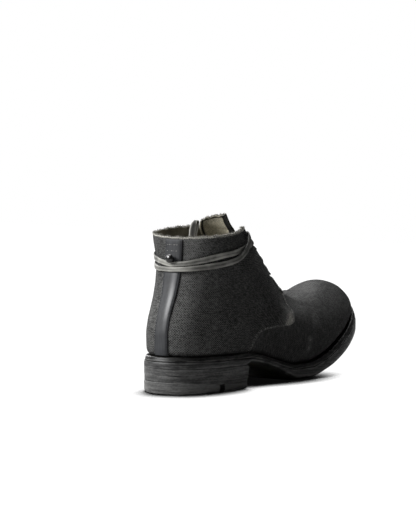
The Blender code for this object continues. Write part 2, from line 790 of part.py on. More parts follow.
def lace_bar(first, second, lift, beyond):
    """One stretch over the throat between two lace holes, each a (height, side) pair."""
    ends = []
    for height, sign in (first, second):
        turn = math.degrees(eyelet_place(height, sign)[0])
        ends.append(np.array([turn if turn > 0 else turn + 360, height, lift, LACE_WIDTH]))
    steps = np.linspace(-beyond, 1 + beyond, BAR_SECTIONS)
    return lace_on_last([ends[0] + t * (ends[1] - ends[0]) for t in steps])


def build_lace(parent):
    lowest = EYELET_LEVELS[0]
    straight = lace_bar((lowest, 1), (lowest, -1), BAR_LIFT[0], BAR_BEYOND[0])
    bars = make_object("lace_bars", straight, LACE_LEATHER, parent)
    for step, (low, high) in enumerate(zip(EYELET_LEVELS, EYELET_LEVELS[1:])):
        for sign in (1, -1):
            layer = 1 + (step + (sign > 0)) % 2
            bar = lace_bar((low, sign), (high, -sign), BAR_LIFT[layer] + step * BAR_STEP, BAR_BEYOND[layer])
            cut(bars, make_object(f"bar_guide_{step}_{sign}", bar, LACE_LEATHER, parent), "UNION")
    for name, rows in (("lace_wrap_upper", WRAP_UPPER), ("lace_wrap_lower", WRAP_LOWER)):
        make_object(name, lace_on_last(route_points(rows, WRAP_SECTIONS)), LACE_LEATHER, parent)
    places = [np.array(p) for p in route_points(LACE_LOOP, LOOP_SECTIONS)]
    facing = np.cross(LOOP_ACROSS, np.gradient(np.array(places), axis=0))
    make_object("lace_loop", lace_mesh(places, facing, [LOOP_WIDTH] * len(places)), LACE_LEATHER, parent)


def build_boot():
    boot = bpy.data.objects.new("boot", None)
    bpy.context.collection.objects.link(boot)
    build_top_piece(boot)
    build_heel_lifts(boot)
    build_outsole(boot)
    build_welt(boot)
    build_insole(boot)
    build_upper(boot)
    build_back_strip(boot)
    build_tongue(boot)
    build_stud(boot)
    build_lace(boot)


build_boot()
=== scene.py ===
"""Dresses the right lace-up ankle boot: canvas upper, leather strip and lace, welted sole, stacked heel.

Tables are in millimetres in the boot's own frame: y runs from the back of the sole to the toe, x is 0 on
the middle line and grows towards the outer side, z is height above the floor.
"""

import math
from collections import namedtuple

import bmesh
import bpy
import numpy as np
from mathutils import Matrix, Vector


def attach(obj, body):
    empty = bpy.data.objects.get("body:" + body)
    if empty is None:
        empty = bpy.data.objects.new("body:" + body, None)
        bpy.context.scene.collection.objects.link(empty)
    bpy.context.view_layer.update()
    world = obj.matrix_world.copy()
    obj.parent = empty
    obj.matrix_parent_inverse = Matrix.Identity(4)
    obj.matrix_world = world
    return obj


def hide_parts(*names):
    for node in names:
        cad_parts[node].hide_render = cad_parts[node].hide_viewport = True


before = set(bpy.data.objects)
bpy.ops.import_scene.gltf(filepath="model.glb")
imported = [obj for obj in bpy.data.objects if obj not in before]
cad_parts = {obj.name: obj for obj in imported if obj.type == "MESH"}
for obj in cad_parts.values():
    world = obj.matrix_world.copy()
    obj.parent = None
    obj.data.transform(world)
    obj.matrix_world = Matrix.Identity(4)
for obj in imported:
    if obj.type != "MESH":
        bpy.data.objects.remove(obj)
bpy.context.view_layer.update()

# Outsole: one thick leather sole, cut to the boot's outline, bevelled thin under the waist and turned up
# at the toe. Its edge is sanded and inked dark, and its underside is left olive brown.

MM = 0.001
SOLE_LENGTH = 297.0
GAP = 0.3
TOE_SWING = -5.0
SWING_START = 150.0


def columns(kind, *rows):
    """A short table, a row for each section, as named columns."""
    return kind(*np.array(rows, float).T)


SideRow = namedtuple("SideRow", "y underside thickness bevel_in bevel_up")
SOLE_SIDE = columns(
    SideRow,
    (0.0, 23.2, 6.0, 0.5, 0.5),
    (80.0, 21.2, 6.4, 0.5, 0.5),
    (90.0, 20.6, 6.6, 8.0, 4.6),
    (104.0, 18.0, 6.8, 10.0, 5.2),
    (130.0, 10.2, 8.0, 11.0, 6.0),
    (148.0, 3.0, 9.8, 10.0, 4.6),
    (160.0, 0.0, 10.6, 9.0, 3.6),
    (176.0, 0.0, 11.0, 8.0, 3.2),
    (200.0, 6.2, 11.0, 6.0, 3.0),
    (232.0, 18.7, 12.3, 5.0, 2.8),
    (262.0, 33.4, 12.6, 4.0, 2.6),
    (297.0, 50.0, 11.5, 3.0, 2.4),
)

# Half widths at four stations along a level, outer then inner side, with the radius of each end
Level = namedtuple(
    "Level",
    "back_rise front_rise back_y front_y back_radius front_radius "
    "heel_out waist_out ball_out toe_out heel_in waist_in ball_in toe_in",
)
STATIONS = np.radians([45.0, 80.0, 115.0, 145.0])
SOLE_OUTLINE = Level(0, 0, 0, SOLE_LENGTH, 42, 48, 38.0, 40.5, 53.5, 42.0, 37.5, 32.5, 50.5, 42.5)


def through(knots, values, x):
    """A monotone cubic through a short table. The values may differ from point to point."""
    knots = np.asarray(knots, float)
    x = np.atleast_1d(np.asarray(x, float))
    values = np.asarray(values, float)
    if values.ndim == 1:
        values = np.repeat(values[:, None], len(x), axis=1)
    steps = np.diff(knots)
    slopes = np.diff(values, axis=0) / steps[:, None]
    before, after = slopes[:-1], slopes[1:]
    first = (2 * steps[1:] + steps[:-1])[:, None]
    second = (steps[1:] + 2 * steps[:-1])[:, None]
    rising = before * after > 0
    shares = first / np.where(rising, before, 1.0) + second / np.where(rising, after, 1.0)
    inner = np.where(rising, (first + second) / np.where(rising, shares, 1.0), 0.0)
    tangents = np.vstack([slopes[:1], inner, slopes[-1:]])
    i = np.clip(np.searchsorted(knots, x) - 1, 0, len(steps) - 1)
    n = np.arange(len(x))
    t = (x - knots[i]) / steps[i]
    rise = (2 * t**3 - 3 * t**2 + 1) * values[i, n] + (3 * t**2 - 2 * t**3) * values[i + 1, n]
    bend = (t**3 - 2 * t**2 + t) * tangents[i, n] + (t**3 - t**2) * tangents[i + 1, n]
    return rise + steps[i] * bend


def bell(x, centre, width):
    """1 at the centre, falling off softly on both sides."""
    return np.exp(-(((x - centre) / width) ** 2))


def underside(y):
    return through(SOLE_SIDE.y, SOLE_SIDE.underside, y)


def outsole_top(y):
    return underside(y) + through(SOLE_SIDE.y, SOLE_SIDE.thickness, y)


def plan(level, turn, inset=0.0):
    """Plan places on a level: turn is 0 at the back, pi at the toe, negative on the inner side."""
    turn = np.atleast_1d(np.asarray(turn, float))
    inset = np.broadcast_to(np.asarray(inset, float), turn.shape)
    level = Level(*(np.broadcast_to(np.asarray(c, float), turn.shape) for c in level))
    angle = np.abs(turn)
    back = level.back_y + inset
    half = (level.front_y - inset - back) / 2
    side = np.where(turn >= 0, np.array(level[6:10]), np.array(level[10:14]))
    ends = [np.sqrt(np.maximum(r - inset, 1.0) * half) for r in (level.back_radius, level.front_radius)]
    widths = (side - inset) / np.sin(STATIONS)[:, None]
    swell = through([0.0, *STATIONS, math.pi], np.vstack([ends[:1], widths, ends[1:]]), angle)
    y = back + half * (1 - np.cos(angle))
    swing = TOE_SWING * np.maximum(0.0, (y - SWING_START) / (SOLE_LENGTH - SWING_START)) ** 2
    return np.where(turn >= 0, 1.0, -1.0) * np.sin(angle) * swell + swing, y


outline_x = plan(SOLE_OUTLINE, np.linspace(-math.pi, math.pi, 241))[0]
MIDDLE = np.array([(outline_x.max() + outline_x.min()) / 2, SOLE_LENGTH / 2, 0.0])


def in_frame(points):
    """Millimetres in the boot's frame to metres about the middle of its footprint."""
    return (np.asarray(points, float) - MIDDLE) * MM


def finish_mesh(name, bm, finishes, sharp=50):
    """Turns a shaped bmesh into a piece on the boot."""
    mesh = bpy.data.meshes.new(name)
    bm.to_mesh(mesh)
    bm.free()
    mesh.shade_smooth()
    mesh.set_sharp_from_angle(angle=math.radians(sharp))
    piece = bpy.data.objects.new(name, mesh)
    for finish in finishes:
        mesh.materials.append(finish)
    bpy.context.collection.objects.link(piece)
    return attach(piece, "root")


def shaped_grid(across, along, place, marks=None, weld=True, fill=False):
    """A grid moved onto a surface: place takes both shares from 0 to 1 and gives millimetres."""
    bm = bmesh.new()
    bmesh.ops.create_grid(bm, x_segments=across, y_segments=along, size=0.5)
    shares = np.array([v.co for v in bm.verts]) + 0.5
    for vert, point in zip(bm.verts, in_frame(place(shares[:, 0], shares[:, 1]))):
        vert.co = point
    for name, mark in (marks or {}).items():
        values = mark(shares[:, 0], shares[:, 1])
        if name == "cloth":
            layer = bm.loops.layers.uv.new(name)
            for face in bm.faces:
                for loop in face.loops:
                    loop[layer].uv = values[loop.vert.index]
        else:
            layer = bm.verts.layers.float.new(name)
            for vert, value in zip(bm.verts, values):
                vert[layer] = value
    if weld:
        bmesh.ops.remove_doubles(bm, verts=bm.verts, dist=0.00001)
        bmesh.ops.dissolve_degenerate(bm, edges=bm.edges, dist=0.000002)
    if fill:
        bmesh.ops.holes_fill(bm, edges=bm.edges, sides=0)
    if weld:
        bmesh.ops.recalc_face_normals(bm, faces=bm.faces)
    return bm


class Wire:
    """A value in a finish. Arithmetic on wires adds Math nodes, and node() adds any other."""

    def __init__(self, tree, socket):
        self.tree = tree
        self.socket = socket

    def feed(self, socket, value):
        if isinstance(value, Wire):
            self.tree.links.new(value.socket, socket)
        else:
            socket.default_value = value

    def node(self, kind, output, settings=None, **inputs):
        node = self.tree.nodes.new(kind)
        for name, value in (settings or {}).items():
            setattr(node, name, value)
        for name, value in inputs.items():
            self.feed(node.inputs[name.replace("_", " ")], value)
        return Wire(self.tree, node.outputs[output])

    def math(self, operation, *values):
        node = self.tree.nodes.new("ShaderNodeMath")
        node.operation = operation
        for socket, value in zip(node.inputs, values):
            self.feed(socket, value)
        return Wire(self.tree, node.outputs["Value"])

    def __add__(self, other):
        return self.math("ADD", self, other)

    def __mul__(self, other):
        return self.math("MULTIPLY", self, other)

    def __sub__(self, other):
        return self.math("SUBTRACT", self, other)

    def __rsub__(self, other):
        return self.math("SUBTRACT", other, self)

    def __truediv__(self, other):
        return self.math("DIVIDE", self, other)

    __radd__ = __add__
    __rmul__ = __mul__

    def part(self, axis):
        return self.node("ShaderNodeSeparateXYZ", axis, Vector=self)

    def step(self, low, high):
        """0 below low, 1 above high, soft between."""
        settings = {"interpolation_type": "SMOOTHSTEP"}
        return self.node("ShaderNodeMapRange", "Result", settings, Value=self, From_Min=low, From_Max=high)

    def blend(self, first, second):
        """The first colour where this is 0, the second where it is 1."""
        colours = [c if isinstance(c, Wire) else (*c, 1.0) for c in (first, second)]
        return self.node("ShaderNodeMixRGB", "Color", Fac=self, Color1=colours[0], Color2=colours[1])

    def grain(self, sizes, detail=3.0, rough=0.5):
        """Noise on a place, with features of these sizes in millimetres along x, y and z."""
        scale = [1 / (size * MM) for size in sizes]
        moved = self.node("ShaderNodeMapping", "Vector", Vector=self, Scale=scale)
        inputs = {"Vector": moved, "Scale": 1.0, "Detail": detail, "Roughness": rough}
        return self.node("ShaderNodeTexNoise", "Fac", **inputs)


class Finish:
    """A Principled material with the places its patterns read."""

    def __init__(self, name, roughness, **constants):
        self.material = bpy.data.materials.new(name)
        self.material.use_nodes = True
        self.tree = self.material.node_tree
        self.shader = self.tree.nodes["Principled BSDF"]
        self.shader.inputs["Roughness"].default_value = roughness
        for key, value in constants.items():
            self.shader.inputs[key.replace("_", " ")].default_value = value
        coordinates = self.tree.nodes.new("ShaderNodeTexCoord")
        self.place = Wire(self.tree, coordinates.outputs["Object"])

    def cloth(self):
        uv = self.tree.nodes.new("ShaderNodeUVMap")
        uv.uv_map = "cloth"
        return Wire(self.tree, uv.outputs["UV"])

    def mark(self, name):
        attribute = self.tree.nodes.new("ShaderNodeAttribute")
        attribute.attribute_name = name
        return Wire(self.tree, attribute.outputs["Fac"])

    def colour(self, wire):
        wire.feed(self.shader.inputs["Base Color"], wire)

    def roughness(self, wire):
        wire.feed(self.shader.inputs["Roughness"], wire)

    def bump(self, height, depth, strength=1.0):
        """Raises the surface by up to depth millimetres."""
        inputs = {"Height": height, "Distance": depth * MM, "Strength": strength}
        normal = height.node("ShaderNodeBump", "Normal", **inputs)
        normal.feed(self.shader.inputs["Normal"], normal)


def edge_leather(name, dark, light, rough, gloss):
    """Sanded and inked leather edge, streaked along its layers and paler at its corners: partly worn pale,
    partly a painted highlight line and painted light.
    """
    finish = Finish(name, rough, Specular_IOR_Level=gloss)
    streaks = finish.place.grain((30, 30, 0.7), 4.0, 0.6)
    grit = finish.place.grain((2.2, 2.2, 0.9), 3.0, 0.65)
    patches = finish.place.grain((14, 14, 5), 3.0)
    pores = finish.place.grain((1.2, 1.2, 0.6), 2.0)
    worn = finish.mark("corner") * patches.step(0.38, 0.62)
    tone = streaks.step(0.36, 0.66) * 0.5 + patches.step(0.3, 0.75) * 0.12
    tone = tone + grit.step(0.38, 0.64) * 0.3 + worn * 0.9
    finish.colour(tone.step(0.1, 1.2).blend(dark, light))
    finish.roughness(rough + 0.2 * (patches - 0.5) - 0.1 * worn)
    finish.bump(streaks * 0.7 + pores * 0.3, 0.25, 0.6)
    return finish


OUTSOLE_DARK = (0.004, 0.004, 0.004)
OUTSOLE_LIGHT = (0.058, 0.058, 0.0573)
UNDER_DARK = (0.003, 0.003, 0.002)
UNDER_LIGHT = (0.017, 0.0165, 0.009)
EDGE_POINTS = 9
SIDE_START = 0.6
TOP_EDGE_START = 0.86
TOP_EDGE_IN = 0.5
outsole_finish = edge_leather("outsole_edge", OUTSOLE_DARK, OUTSOLE_LIGHT, 0.5, 0.25)
under_share = outsole_finish.mark("under")
edge_colour = Wire(outsole_finish.tree, outsole_finish.shader.inputs["Base Color"].links[0].from_socket)
under_stain = outsole_finish.place.grain((9, 16, 9), 4.0).step(0.3, 0.7)
under_colour = under_stain.blend(UNDER_DARK, UNDER_LIGHT)
outsole_finish.colour(under_share.blend(edge_colour, under_colour))


def outsole_ring(round_share):
    """Which side of the sole a share of its section is on, and how far up that side it is."""
    count = 2 * EDGE_POINTS
    index = np.rint(round_share * count).astype(int) % count
    outer = index >= EDGE_POINTS
    step = np.where(outer, index - EDGE_POINTS, EDGE_POINTS - 1 - index)
    return np.where(outer, 1.0, -1.0), step / (EDGE_POINTS - 1)


def outsole_place(along, round_share):
    turn = math.pi * along
    sign, up = outsole_ring(round_share)
    y = plan(SOLE_OUTLINE, turn)[1]
    bevel_in = through(SOLE_SIDE.y, SOLE_SIDE.bevel_in, y)
    bevel_up = through(SOLE_SIDE.y, SOLE_SIDE.bevel_up, y)
    bend = np.clip(up / SIDE_START, 0, 1)
    top_edge = np.clip((up - TOP_EDGE_START) / (1 - TOP_EDGE_START), 0, 1)
    inset = bevel_in * (1 - bend) ** 1.25 + TOP_EDGE_IN * top_edge**2
    x, y = plan(SOLE_OUTLINE, sign * turn, inset)
    side = np.clip((up - SIDE_START) / (1 - SIDE_START), 0, 1)
    low = underside(y) + bevel_up * bend**1.1
    return np.column_stack([x, y, low + side * (outsole_top(y) - low)])


def outsole_under(along, round_share):
    y = plan(SOLE_OUTLINE, math.pi * along)[1]
    up = outsole_ring(round_share)[1]
    return np.clip(1.25 - 2.2 * up, 0, 1) * np.clip((y - 70) / 20, 0, 1)


# Corners of the sole's edge, painted paler: partly wear, partly a painted highlight line.
def outsole_corner(along, round_share):
    up = outsole_ring(round_share)[1]
    return bell(up, 0.62, 0.1) + (up > 0.9)


outsole = finish_mesh(
    "outsole_dressed",
    shaped_grid(150, 2 * EDGE_POINTS, outsole_place, {"under": outsole_under, "corner": outsole_corner}),
    [outsole_finish.material],
    35,
)
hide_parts("outsole")

# Heel: two leather lifts and a rubber top piece, glued and nailed under the sole, then sanded to one
# sloping side. A narrow slot runs across the top piece.

HEEL_BREAST_Y = 86.0
BREAST_SLANT = 4.0
TOP_PIECE_HEIGHT = 11.0
TOP_PIECE_TAPER = 0.065
TOP_PIECE_SHARE = 0.26
SLOT_Y = 45.5
SLOT_WIDTH = 5.6
SLOT_HEIGHT = 7.2
SLOT_BELOW = 4.0
SLOT_REACH = 160.0
HEEL_EDGE_ROUND = 2.6
JOINT = 0.02
# Painted light: the heel lifts, and much more the top piece, are painted lighter towards the breast.
LIFT_PAINTED_LIGHT = 0.1
TOP_PIECE_PAINTED_LIGHT = 2.0
HEEL_DARK = (0.010, 0.010, 0.010)
HEEL_LIGHT = (0.092, 0.092, 0.0905)
RUBBER_DARK = (0.012, 0.012, 0.012)
RUBBER_LIGHT = (0.105, 0.105, 0.103)
HeelLayer = namedtuple("HeelLayer", "name bottom top inset")
HEEL_LAYERS = (HeelLayer("heel_lift_lower", 0.0, 0.5, 0.3), HeelLayer("heel_lift_upper", 0.5, 1.0, 0.1))
RingRow = namedtuple("RingRow", "share inset height corner")


def heel_place(rings, breast_painted_light):
    """Places on a heel layer from its rings, lowest first, each with a function for its height."""
    count = 2 * len(rings)

    def ring_of(round_share):
        index = np.rint(round_share * count).astype(int) % count
        outer = index < len(rings)
        return np.where(outer, 1.0, -1.0), np.where(outer, index, count - 1 - index)

    def place(along, round_share):
        sign, ring = ring_of(round_share)
        points = np.zeros((len(along), 3))
        for number, row in enumerate(rings):
            on = ring == number
            front = HEEL_BREAST_Y - BREAST_SLANT * (1 - row.share) - row.inset
            end = math.acos(1 - front / (SOLE_LENGTH / 2 - row.inset))
            x, y = plan(SOLE_OUTLINE, sign[on] * along[on] * end, row.inset)
            points[on] = np.column_stack([x, y, row.height(y)])
        return points

    # The corner mark: each ring's listed value, plus painted light growing towards the breast.
    def corner(along, round_share):
        ring = ring_of(round_share)[1]
        return np.array([row.corner for row in rings])[ring] + breast_painted_light * along

    return count, place, corner


def top_piece_height(down):
    """Height along the heel of a line this far below the top of the top piece."""
    return lambda y: TOP_PIECE_HEIGHT - TOP_PIECE_TAPER * y - down


def level_height(up):
    """One height all along the heel."""
    return lambda y: np.full(len(y), up)


def lift_height(share, offset):
    """Height in the stack between the top piece and the outsole."""

    def at(y):
        low = top_piece_height(0.0)(y)
        return low + share * (underside(y) - low) + offset

    return at


lift_finish = edge_leather("heel_lift_edge", HEEL_DARK, HEEL_LIGHT, 0.55, 0.3)
for layer in HEEL_LAYERS:
    low_share, high_share = (
        TOP_PIECE_SHARE + (1 - TOP_PIECE_SHARE) * share for share in (layer.bottom, layer.top)
    )
    rings = (
        RingRow(low_share, layer.inset + 0.2, lift_height(layer.bottom, JOINT), 0.0),
        RingRow(low_share, layer.inset + 0.03, lift_height(layer.bottom, 0.2), 0.5),
        RingRow(low_share, layer.inset, lift_height(layer.bottom, 0.8), 0.1),
        RingRow(high_share, layer.inset, lift_height(layer.top, -0.8), 0.1),
        RingRow(high_share, layer.inset + 0.03, lift_height(layer.top, -0.2), 0.5),
        RingRow(high_share, layer.inset + 0.2, lift_height(layer.top, -JOINT), 0.0),
    )
    count, place, corner = heel_place(rings, LIFT_PAINTED_LIGHT)
    lift = finish_mesh(
        layer.name + "_dressed",
        shaped_grid(70, count, place, {"corner": corner}, fill=True),
        [lift_finish.material],
        40,
    )
    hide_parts(layer.name)

# The top piece's corner mark: worn corners and edges, plus painted light towards the breast.
rubber_finish = Finish("heel_rubber_wear_and_painted_light", 0.65, Specular_IOR_Level=0.25)
rubber_scuffs = rubber_finish.place.grain((22, 22, 1.1), 4.0, 0.65)
rubber_grit = rubber_finish.place.grain((1.0, 1.0, 0.8), 2.0)
rubber_patches = rubber_finish.place.grain((9, 9, 3)).step(0.35, 0.6)
rubber_wear_and_painted_light = rubber_finish.mark("corner") * (0.6 + 0.4 * rubber_patches)
rubber_tone = rubber_scuffs.step(0.38, 0.66) * 0.45 + rubber_grit.step(0.35, 0.65) * 0.3
rubber_tone = rubber_tone + rubber_wear_and_painted_light * 0.7
rubber_finish.colour(rubber_tone.step(0.05, 1.5).blend(RUBBER_DARK, RUBBER_LIGHT))
rubber_finish.bump(rubber_scuffs * 0.6 + rubber_grit * 0.4, 0.25, 0.6)

rings = (
    RingRow(0.0, HEEL_EDGE_ROUND, level_height(0.0), 0.2),
    RingRow(0.02, 0.45 * HEEL_EDGE_ROUND, level_height(0.12 * HEEL_EDGE_ROUND), 0.5),
    RingRow(0.05, 0.16 * HEEL_EDGE_ROUND, level_height(0.42 * HEEL_EDGE_ROUND), 0.8),
    RingRow(0.1, 0.0, level_height(HEEL_EDGE_ROUND), 0.4),
    RingRow(0.24, 0.0, top_piece_height(0.9), 0.3),
    RingRow(0.25, 0.05, top_piece_height(0.35), 1.0),
    RingRow(TOP_PIECE_SHARE, 0.3, top_piece_height(JOINT), 0.6),
)
count, place, corner = heel_place(rings, TOP_PIECE_PAINTED_LIGHT)
top_piece = finish_mesh(
    "heel_top_piece_dressed",
    shaped_grid(70, count, place, {"corner": corner}, fill=True),
    [rubber_finish.material],
    40,
)
slot_bm = bmesh.new()
slot_centre = in_frame([[0.0, SLOT_Y, SLOT_HEIGHT / 2 - SLOT_BELOW / 2]])[0]
slot_size = Matrix.Diagonal((SLOT_REACH * MM, SLOT_WIDTH * MM, (SLOT_HEIGHT + SLOT_BELOW) * MM, 1.0))
bmesh.ops.create_cube(slot_bm, size=1.0, matrix=Matrix.Translation(slot_centre) @ slot_size)
slot_mesh = bpy.data.meshes.new("slot_guide")
slot_bm.to_mesh(slot_mesh)
slot_bm.free()
slot_guide = bpy.data.objects.new("slot_guide", slot_mesh)
bpy.context.collection.objects.link(slot_guide)
slot_cut = top_piece.modifiers.new("slot", "BOOLEAN")
slot_cut.object = slot_guide
slot_cut.solver = "EXACT"
cut_mesh = bpy.data.meshes.new_from_object(top_piece.evaluated_get(bpy.context.evaluated_depsgraph_get()))
top_piece.modifiers.remove(slot_cut)
top_piece.data = cut_mesh
bpy.data.objects.remove(slot_guide, do_unlink=True)
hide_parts("heel_top_piece")

# Welt: a leather strip sewn to the upper all the way round and to the sole below it. Its rounded edge is
# inked black, with a thin painted highlight line along its lower edge, broken in patches.

WELT_THICKNESS = 4.5
WELT_INSET = 0.9
WELT_REACH = 11.0
WeltRow = namedtuple("WeltRow", "inset up corner")
# The corner column places the painted highlight line on the welt's section.
WELT_SECTION = columns(
    WeltRow,
    (WELT_REACH, 0.0, 0.0),
    (0.5, 0.0, 0.0),
    (0.12, 0.06, 0.2),
    (0.0, 0.16, 1.0),
    (0.06, 0.28, 1.0),
    (0.25, 0.36, 0.2),
    (0.45, 0.6, 0.0),
    (0.85, 0.85, 0.0),
    (1.5, 1.0, 0.1),
    (2.6, 0.97, 0.0),
    (3.4, 0.86, 0.0),
    (WELT_REACH, 0.86, 0.0),
)


def welt_top(y):
    return outsole_top(y) + GAP + WELT_THICKNESS


def welt_row(round_share):
    return np.rint(round_share * len(WELT_SECTION.up)).astype(int) % len(WELT_SECTION.up)


def welt_place(along, round_share):
    row = welt_row(round_share)
    x, y = plan(SOLE_OUTLINE, 2 * math.pi * along - math.pi, WELT_INSET + WELT_SECTION.inset[row])
    return np.column_stack([x, y, outsole_top(y) + GAP + WELT_THICKNESS * WELT_SECTION.up[row]])


welt_finish = edge_leather("welt_edge", (0.0015, 0.0015, 0.0015), (0.05, 0.05, 0.049), 0.4, 0.15)
welt = finish_mesh(
    "welt_dressed",
    shaped_grid(
        260, len(WELT_SECTION.up), welt_place, {"corner": lambda a, r: WELT_SECTION.corner[welt_row(r)]}
    ),
    [welt_finish.material],
    60,
)
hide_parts("welt")

# Insole: a flat leather board glued in on the sole. It has a plain canvas cover, which only shows from
# above, through the collar.


def plain_cloth(name, colours, rough, gloss, thread, stains, weave_share, depth, strength):
    """Plain stained cloth, with threads and stains of these sizes."""
    cloth = Finish(name, rough, Specular_IOR_Level=gloss)
    weave = cloth.place.grain((thread, thread, thread), 2.0)
    stained = cloth.place.grain(stains, 4.0).step(0.3, 0.7)
    tone = weave * weave_share + stained * (1 - weave_share)
    cloth.colour(tone.blend(*colours))
    cloth.bump(weave, depth, strength)
    return cloth


INSOLE_COLOURS = ((0.018, 0.017, 0.012), (0.08, 0.074, 0.052))
lining_cloth = plain_cloth("insole_cover", INSOLE_COLOURS, 0.9, 0.15, 1.1, (18, 30, 18), 0.4, 0.25, 0.6)
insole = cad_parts["insole"]
insole.data.materials.clear()
insole.data.materials.append(lining_cloth.material)

# Upper: a vamp over the toe and one quarter round the back, cut from coarse waxed canvas with a cotton
# lining. The quarter's front corners lie over the vamp, and all its edges are cut raw and fray pale.

WALL = 2.2
QUARTER_STEP = 1.3
COLLAR_LEVEL = 9.0
EDGE_LEVELS = 0.5
FRONT_LIMIT = math.radians(110)
BACK_LIMIT = math.radians(70)
SEARCH_STEPS = 30
LAST = columns(
    Level,
    (0, 0, 5.5, 290, 37.5, 42, 34.5, 36.5, 47.5, 36.5, 34.0, 28.5, 45.0, 36.5),
    (8, 4.5, 4.2, 292.5, 38.5, 44, 36.0, 38.5, 49.5, 39.0, 35.5, 31.0, 47.0, 39.0),
    (19, 10, 4.2, 290, 39.0, 42, 36.5, 39.5, 50.0, 39.0, 36.0, 32.5, 47.5, 39.5),
    (31, 20.5, 6.5, 282.5, 38.5, 34, 36.5, 40.0, 47.5, 34.5, 36.0, 33.5, 45.0, 35.5),
    (43, 31, 11.0, 268, 37.5, 26, 36.0, 39.5, 43.5, 28.5, 35.5, 34.0, 41.5, 29.5),
    (55, 40.5, 16.0, 247.5, 37.0, 20, 36.0, 39.0, 38.5, 23.0, 35.5, 34.5, 37.0, 24.0),
    (67, 46.8, 19.5, 221, 37.5, 16, 35.5, 38.5, 33.0, 18.0, 35.0, 35.0, 32.5, 18.0),
    (81, 57.5, 22.5, 195, 39.0, 14, 35.0, 39.0, 29.5, 15.5, 34.5, 37.0, 29.5, 15.5),
    (95, 97, 24.0, 147, 40.0, 15, 34.0, 39.5, 28.8, 15.7, 34.0, 38.5, 30.0, 16.5),
    (108, 117, 25.0, 112, 41.0, 17, 32.5, 40.0, 30.4, 17.2, 32.5, 39.5, 33.0, 19.5),
    (123, 133, 26.0, 97, 40.0, 17, 31.0, 39.0, 29.4, 17.2, 31.0, 38.5, 32.0, 19.5),
)
LEVELS = range(len(LAST.back_rise))
EdgeRow = namedtuple("EdgeRow", "y z")
QUARTER_EDGE = columns(
    EdgeRow,
    (87.0, 20.0),
    (91.0, 35.0),
    (98.0, 45.0),
    (108.0, 51.5),
    (122.0, 52.8),
    (148.0, 53.5),
    (153.5, 55.0),
    (158.0, 61.0),
    (164.0, 70.0),
    (178.0, 77.5),
    (188.0, 84.0),
    (215.0, 112.0),
)
ThroatRow = namedtuple("ThroatRow", "height half_gap")
THROAT = columns(
    ThroatRow,
    (7.0, 3.0),
    (7.25, 6.0),
    (8.0, 9.5),
    (8.5, 12.5),
    (9.0, 18.0),
    (9.6, 23.0),
)
EYELET_LEVELS = (7.2, 7.45, 7.7, 7.95)
EYELET_SETBACK = 9.0
EYELET_RADIUS = 2.0


def last_point(turn, height):
    """Points of the last's surface, at heights counted in levels."""
    turn = np.atleast_1d(np.asarray(turn, float))
    height = np.broadcast_to(np.asarray(height, float), turn.shape)
    level = Level(*(through(LEVELS, column, height) for column in LAST))
    x, y = plan(level, turn)
    share = (1 - np.cos(turn)) / 2
    rise = level.back_rise + (level.front_rise - level.back_rise) * share
    return np.column_stack([x, y, welt_top(y) + GAP + rise])


def last_normal(turn, height):
    """The outward directions there, level at the two open edges."""
    turn = np.atleast_1d(np.asarray(turn, float))
    height = np.broadcast_to(np.asarray(height, float), turn.shape)
    small = 0.01
    along = last_point(turn + small, height) - last_point(turn - small, height)
    up = last_point(turn, height + small) - last_point(turn, np.maximum(height - small, 0.0))
    normal = np.cross(along, up)
    from_edge = np.minimum(height, np.abs(COLLAR_LEVEL - height))
    edge = np.minimum(from_edge, EDGE_LEVELS) / EDGE_LEVELS
    normal[:, 2] *= edge
    return normal / np.linalg.norm(normal, axis=1)[:, None]


def on_last(turn, height, out):
    """Points that stand out from the last's surface by a distance."""
    return last_point(turn, height) + np.reshape(out, (-1, 1)) * last_normal(turn, height)


def turn_at_width(height, x, front=True):
    """The turns, on the outer side, where levels are x wide, from their front or back ends."""
    height = np.atleast_1d(np.asarray(height, float))
    near = np.full(height.shape, math.pi if front else 0.0)
    far = np.full(height.shape, FRONT_LIMIT if front else BACK_LIMIT)
    for _ in range(SEARCH_STEPS):
        middle = (near + far) / 2
        width = (last_point(middle, height)[:, 0] - last_point(-middle, height)[:, 0]) / 2
        inside = width < x
        near, far = np.where(inside, middle, near), np.where(inside, far, middle)
    return near


def soft_step(x, low, high):
    t = np.clip((x - low) / (high - low), 0, 1)
    return t * t * (3 - 2 * t)


def run_along(line):
    """Distances of a line's points from its first one, along it."""
    return np.r_[0, np.cumsum(np.linalg.norm(np.diff(line, axis=0), axis=1))]


def on_line(at, run, values):
    """A place or direction at a distance along a line."""
    return np.array([np.interp(at, run, column) for column in values.T])


def wrapped(turn):
    """The same turn, between -pi and pi."""
    return (turn + math.pi) % (2 * math.pi) - math.pi


# The quarter's front edge as one turn a height, up its curved lower edge and then along the throat
edge_heights = np.linspace(0.0, COLLAR_LEVEL, 181)
edge_turns = {}
search_turns = np.radians(np.linspace(60, 176, 233))
for sign in (1, -1):
    found = []
    for height in edge_heights:
        points = last_point(sign * search_turns, height)
        y = np.clip(points[:, 1], QUARTER_EDGE.y[0], QUARTER_EDGE.y[-1])
        above = points[:, 2] - through(QUARTER_EDGE.y, QUARTER_EDGE.z, y)
        outside = np.flatnonzero((above < 0) & (points[:, 1] > QUARTER_EDGE.y[0]))
        found.append(search_turns[outside[0]] if len(outside) else math.pi)
    found = np.array(found)
    gap_turns = turn_at_width(edge_heights, through(THROAT.height, THROAT.half_gap, edge_heights))
    edge_turns[sign] = np.where(edge_heights > THROAT.height[0], np.minimum(found, gap_turns), found)
    edge_turns[sign] = np.convolve(np.pad(edge_turns[sign], 1, "edge"), [0.25, 0.5, 0.25], "valid")


def front_turn(height, sign):
    return np.interp(height, edge_heights, edge_turns[sign])


# Rows lie as close along the back as along the front edge
front_line = last_point(edge_turns[1], edge_heights)
back_line = last_point(np.zeros(len(edge_heights)), edge_heights)
spans = [run_along(line) for line in (front_line, back_line)]
row_shares = sum(span / span[-1] for span in spans) / 2

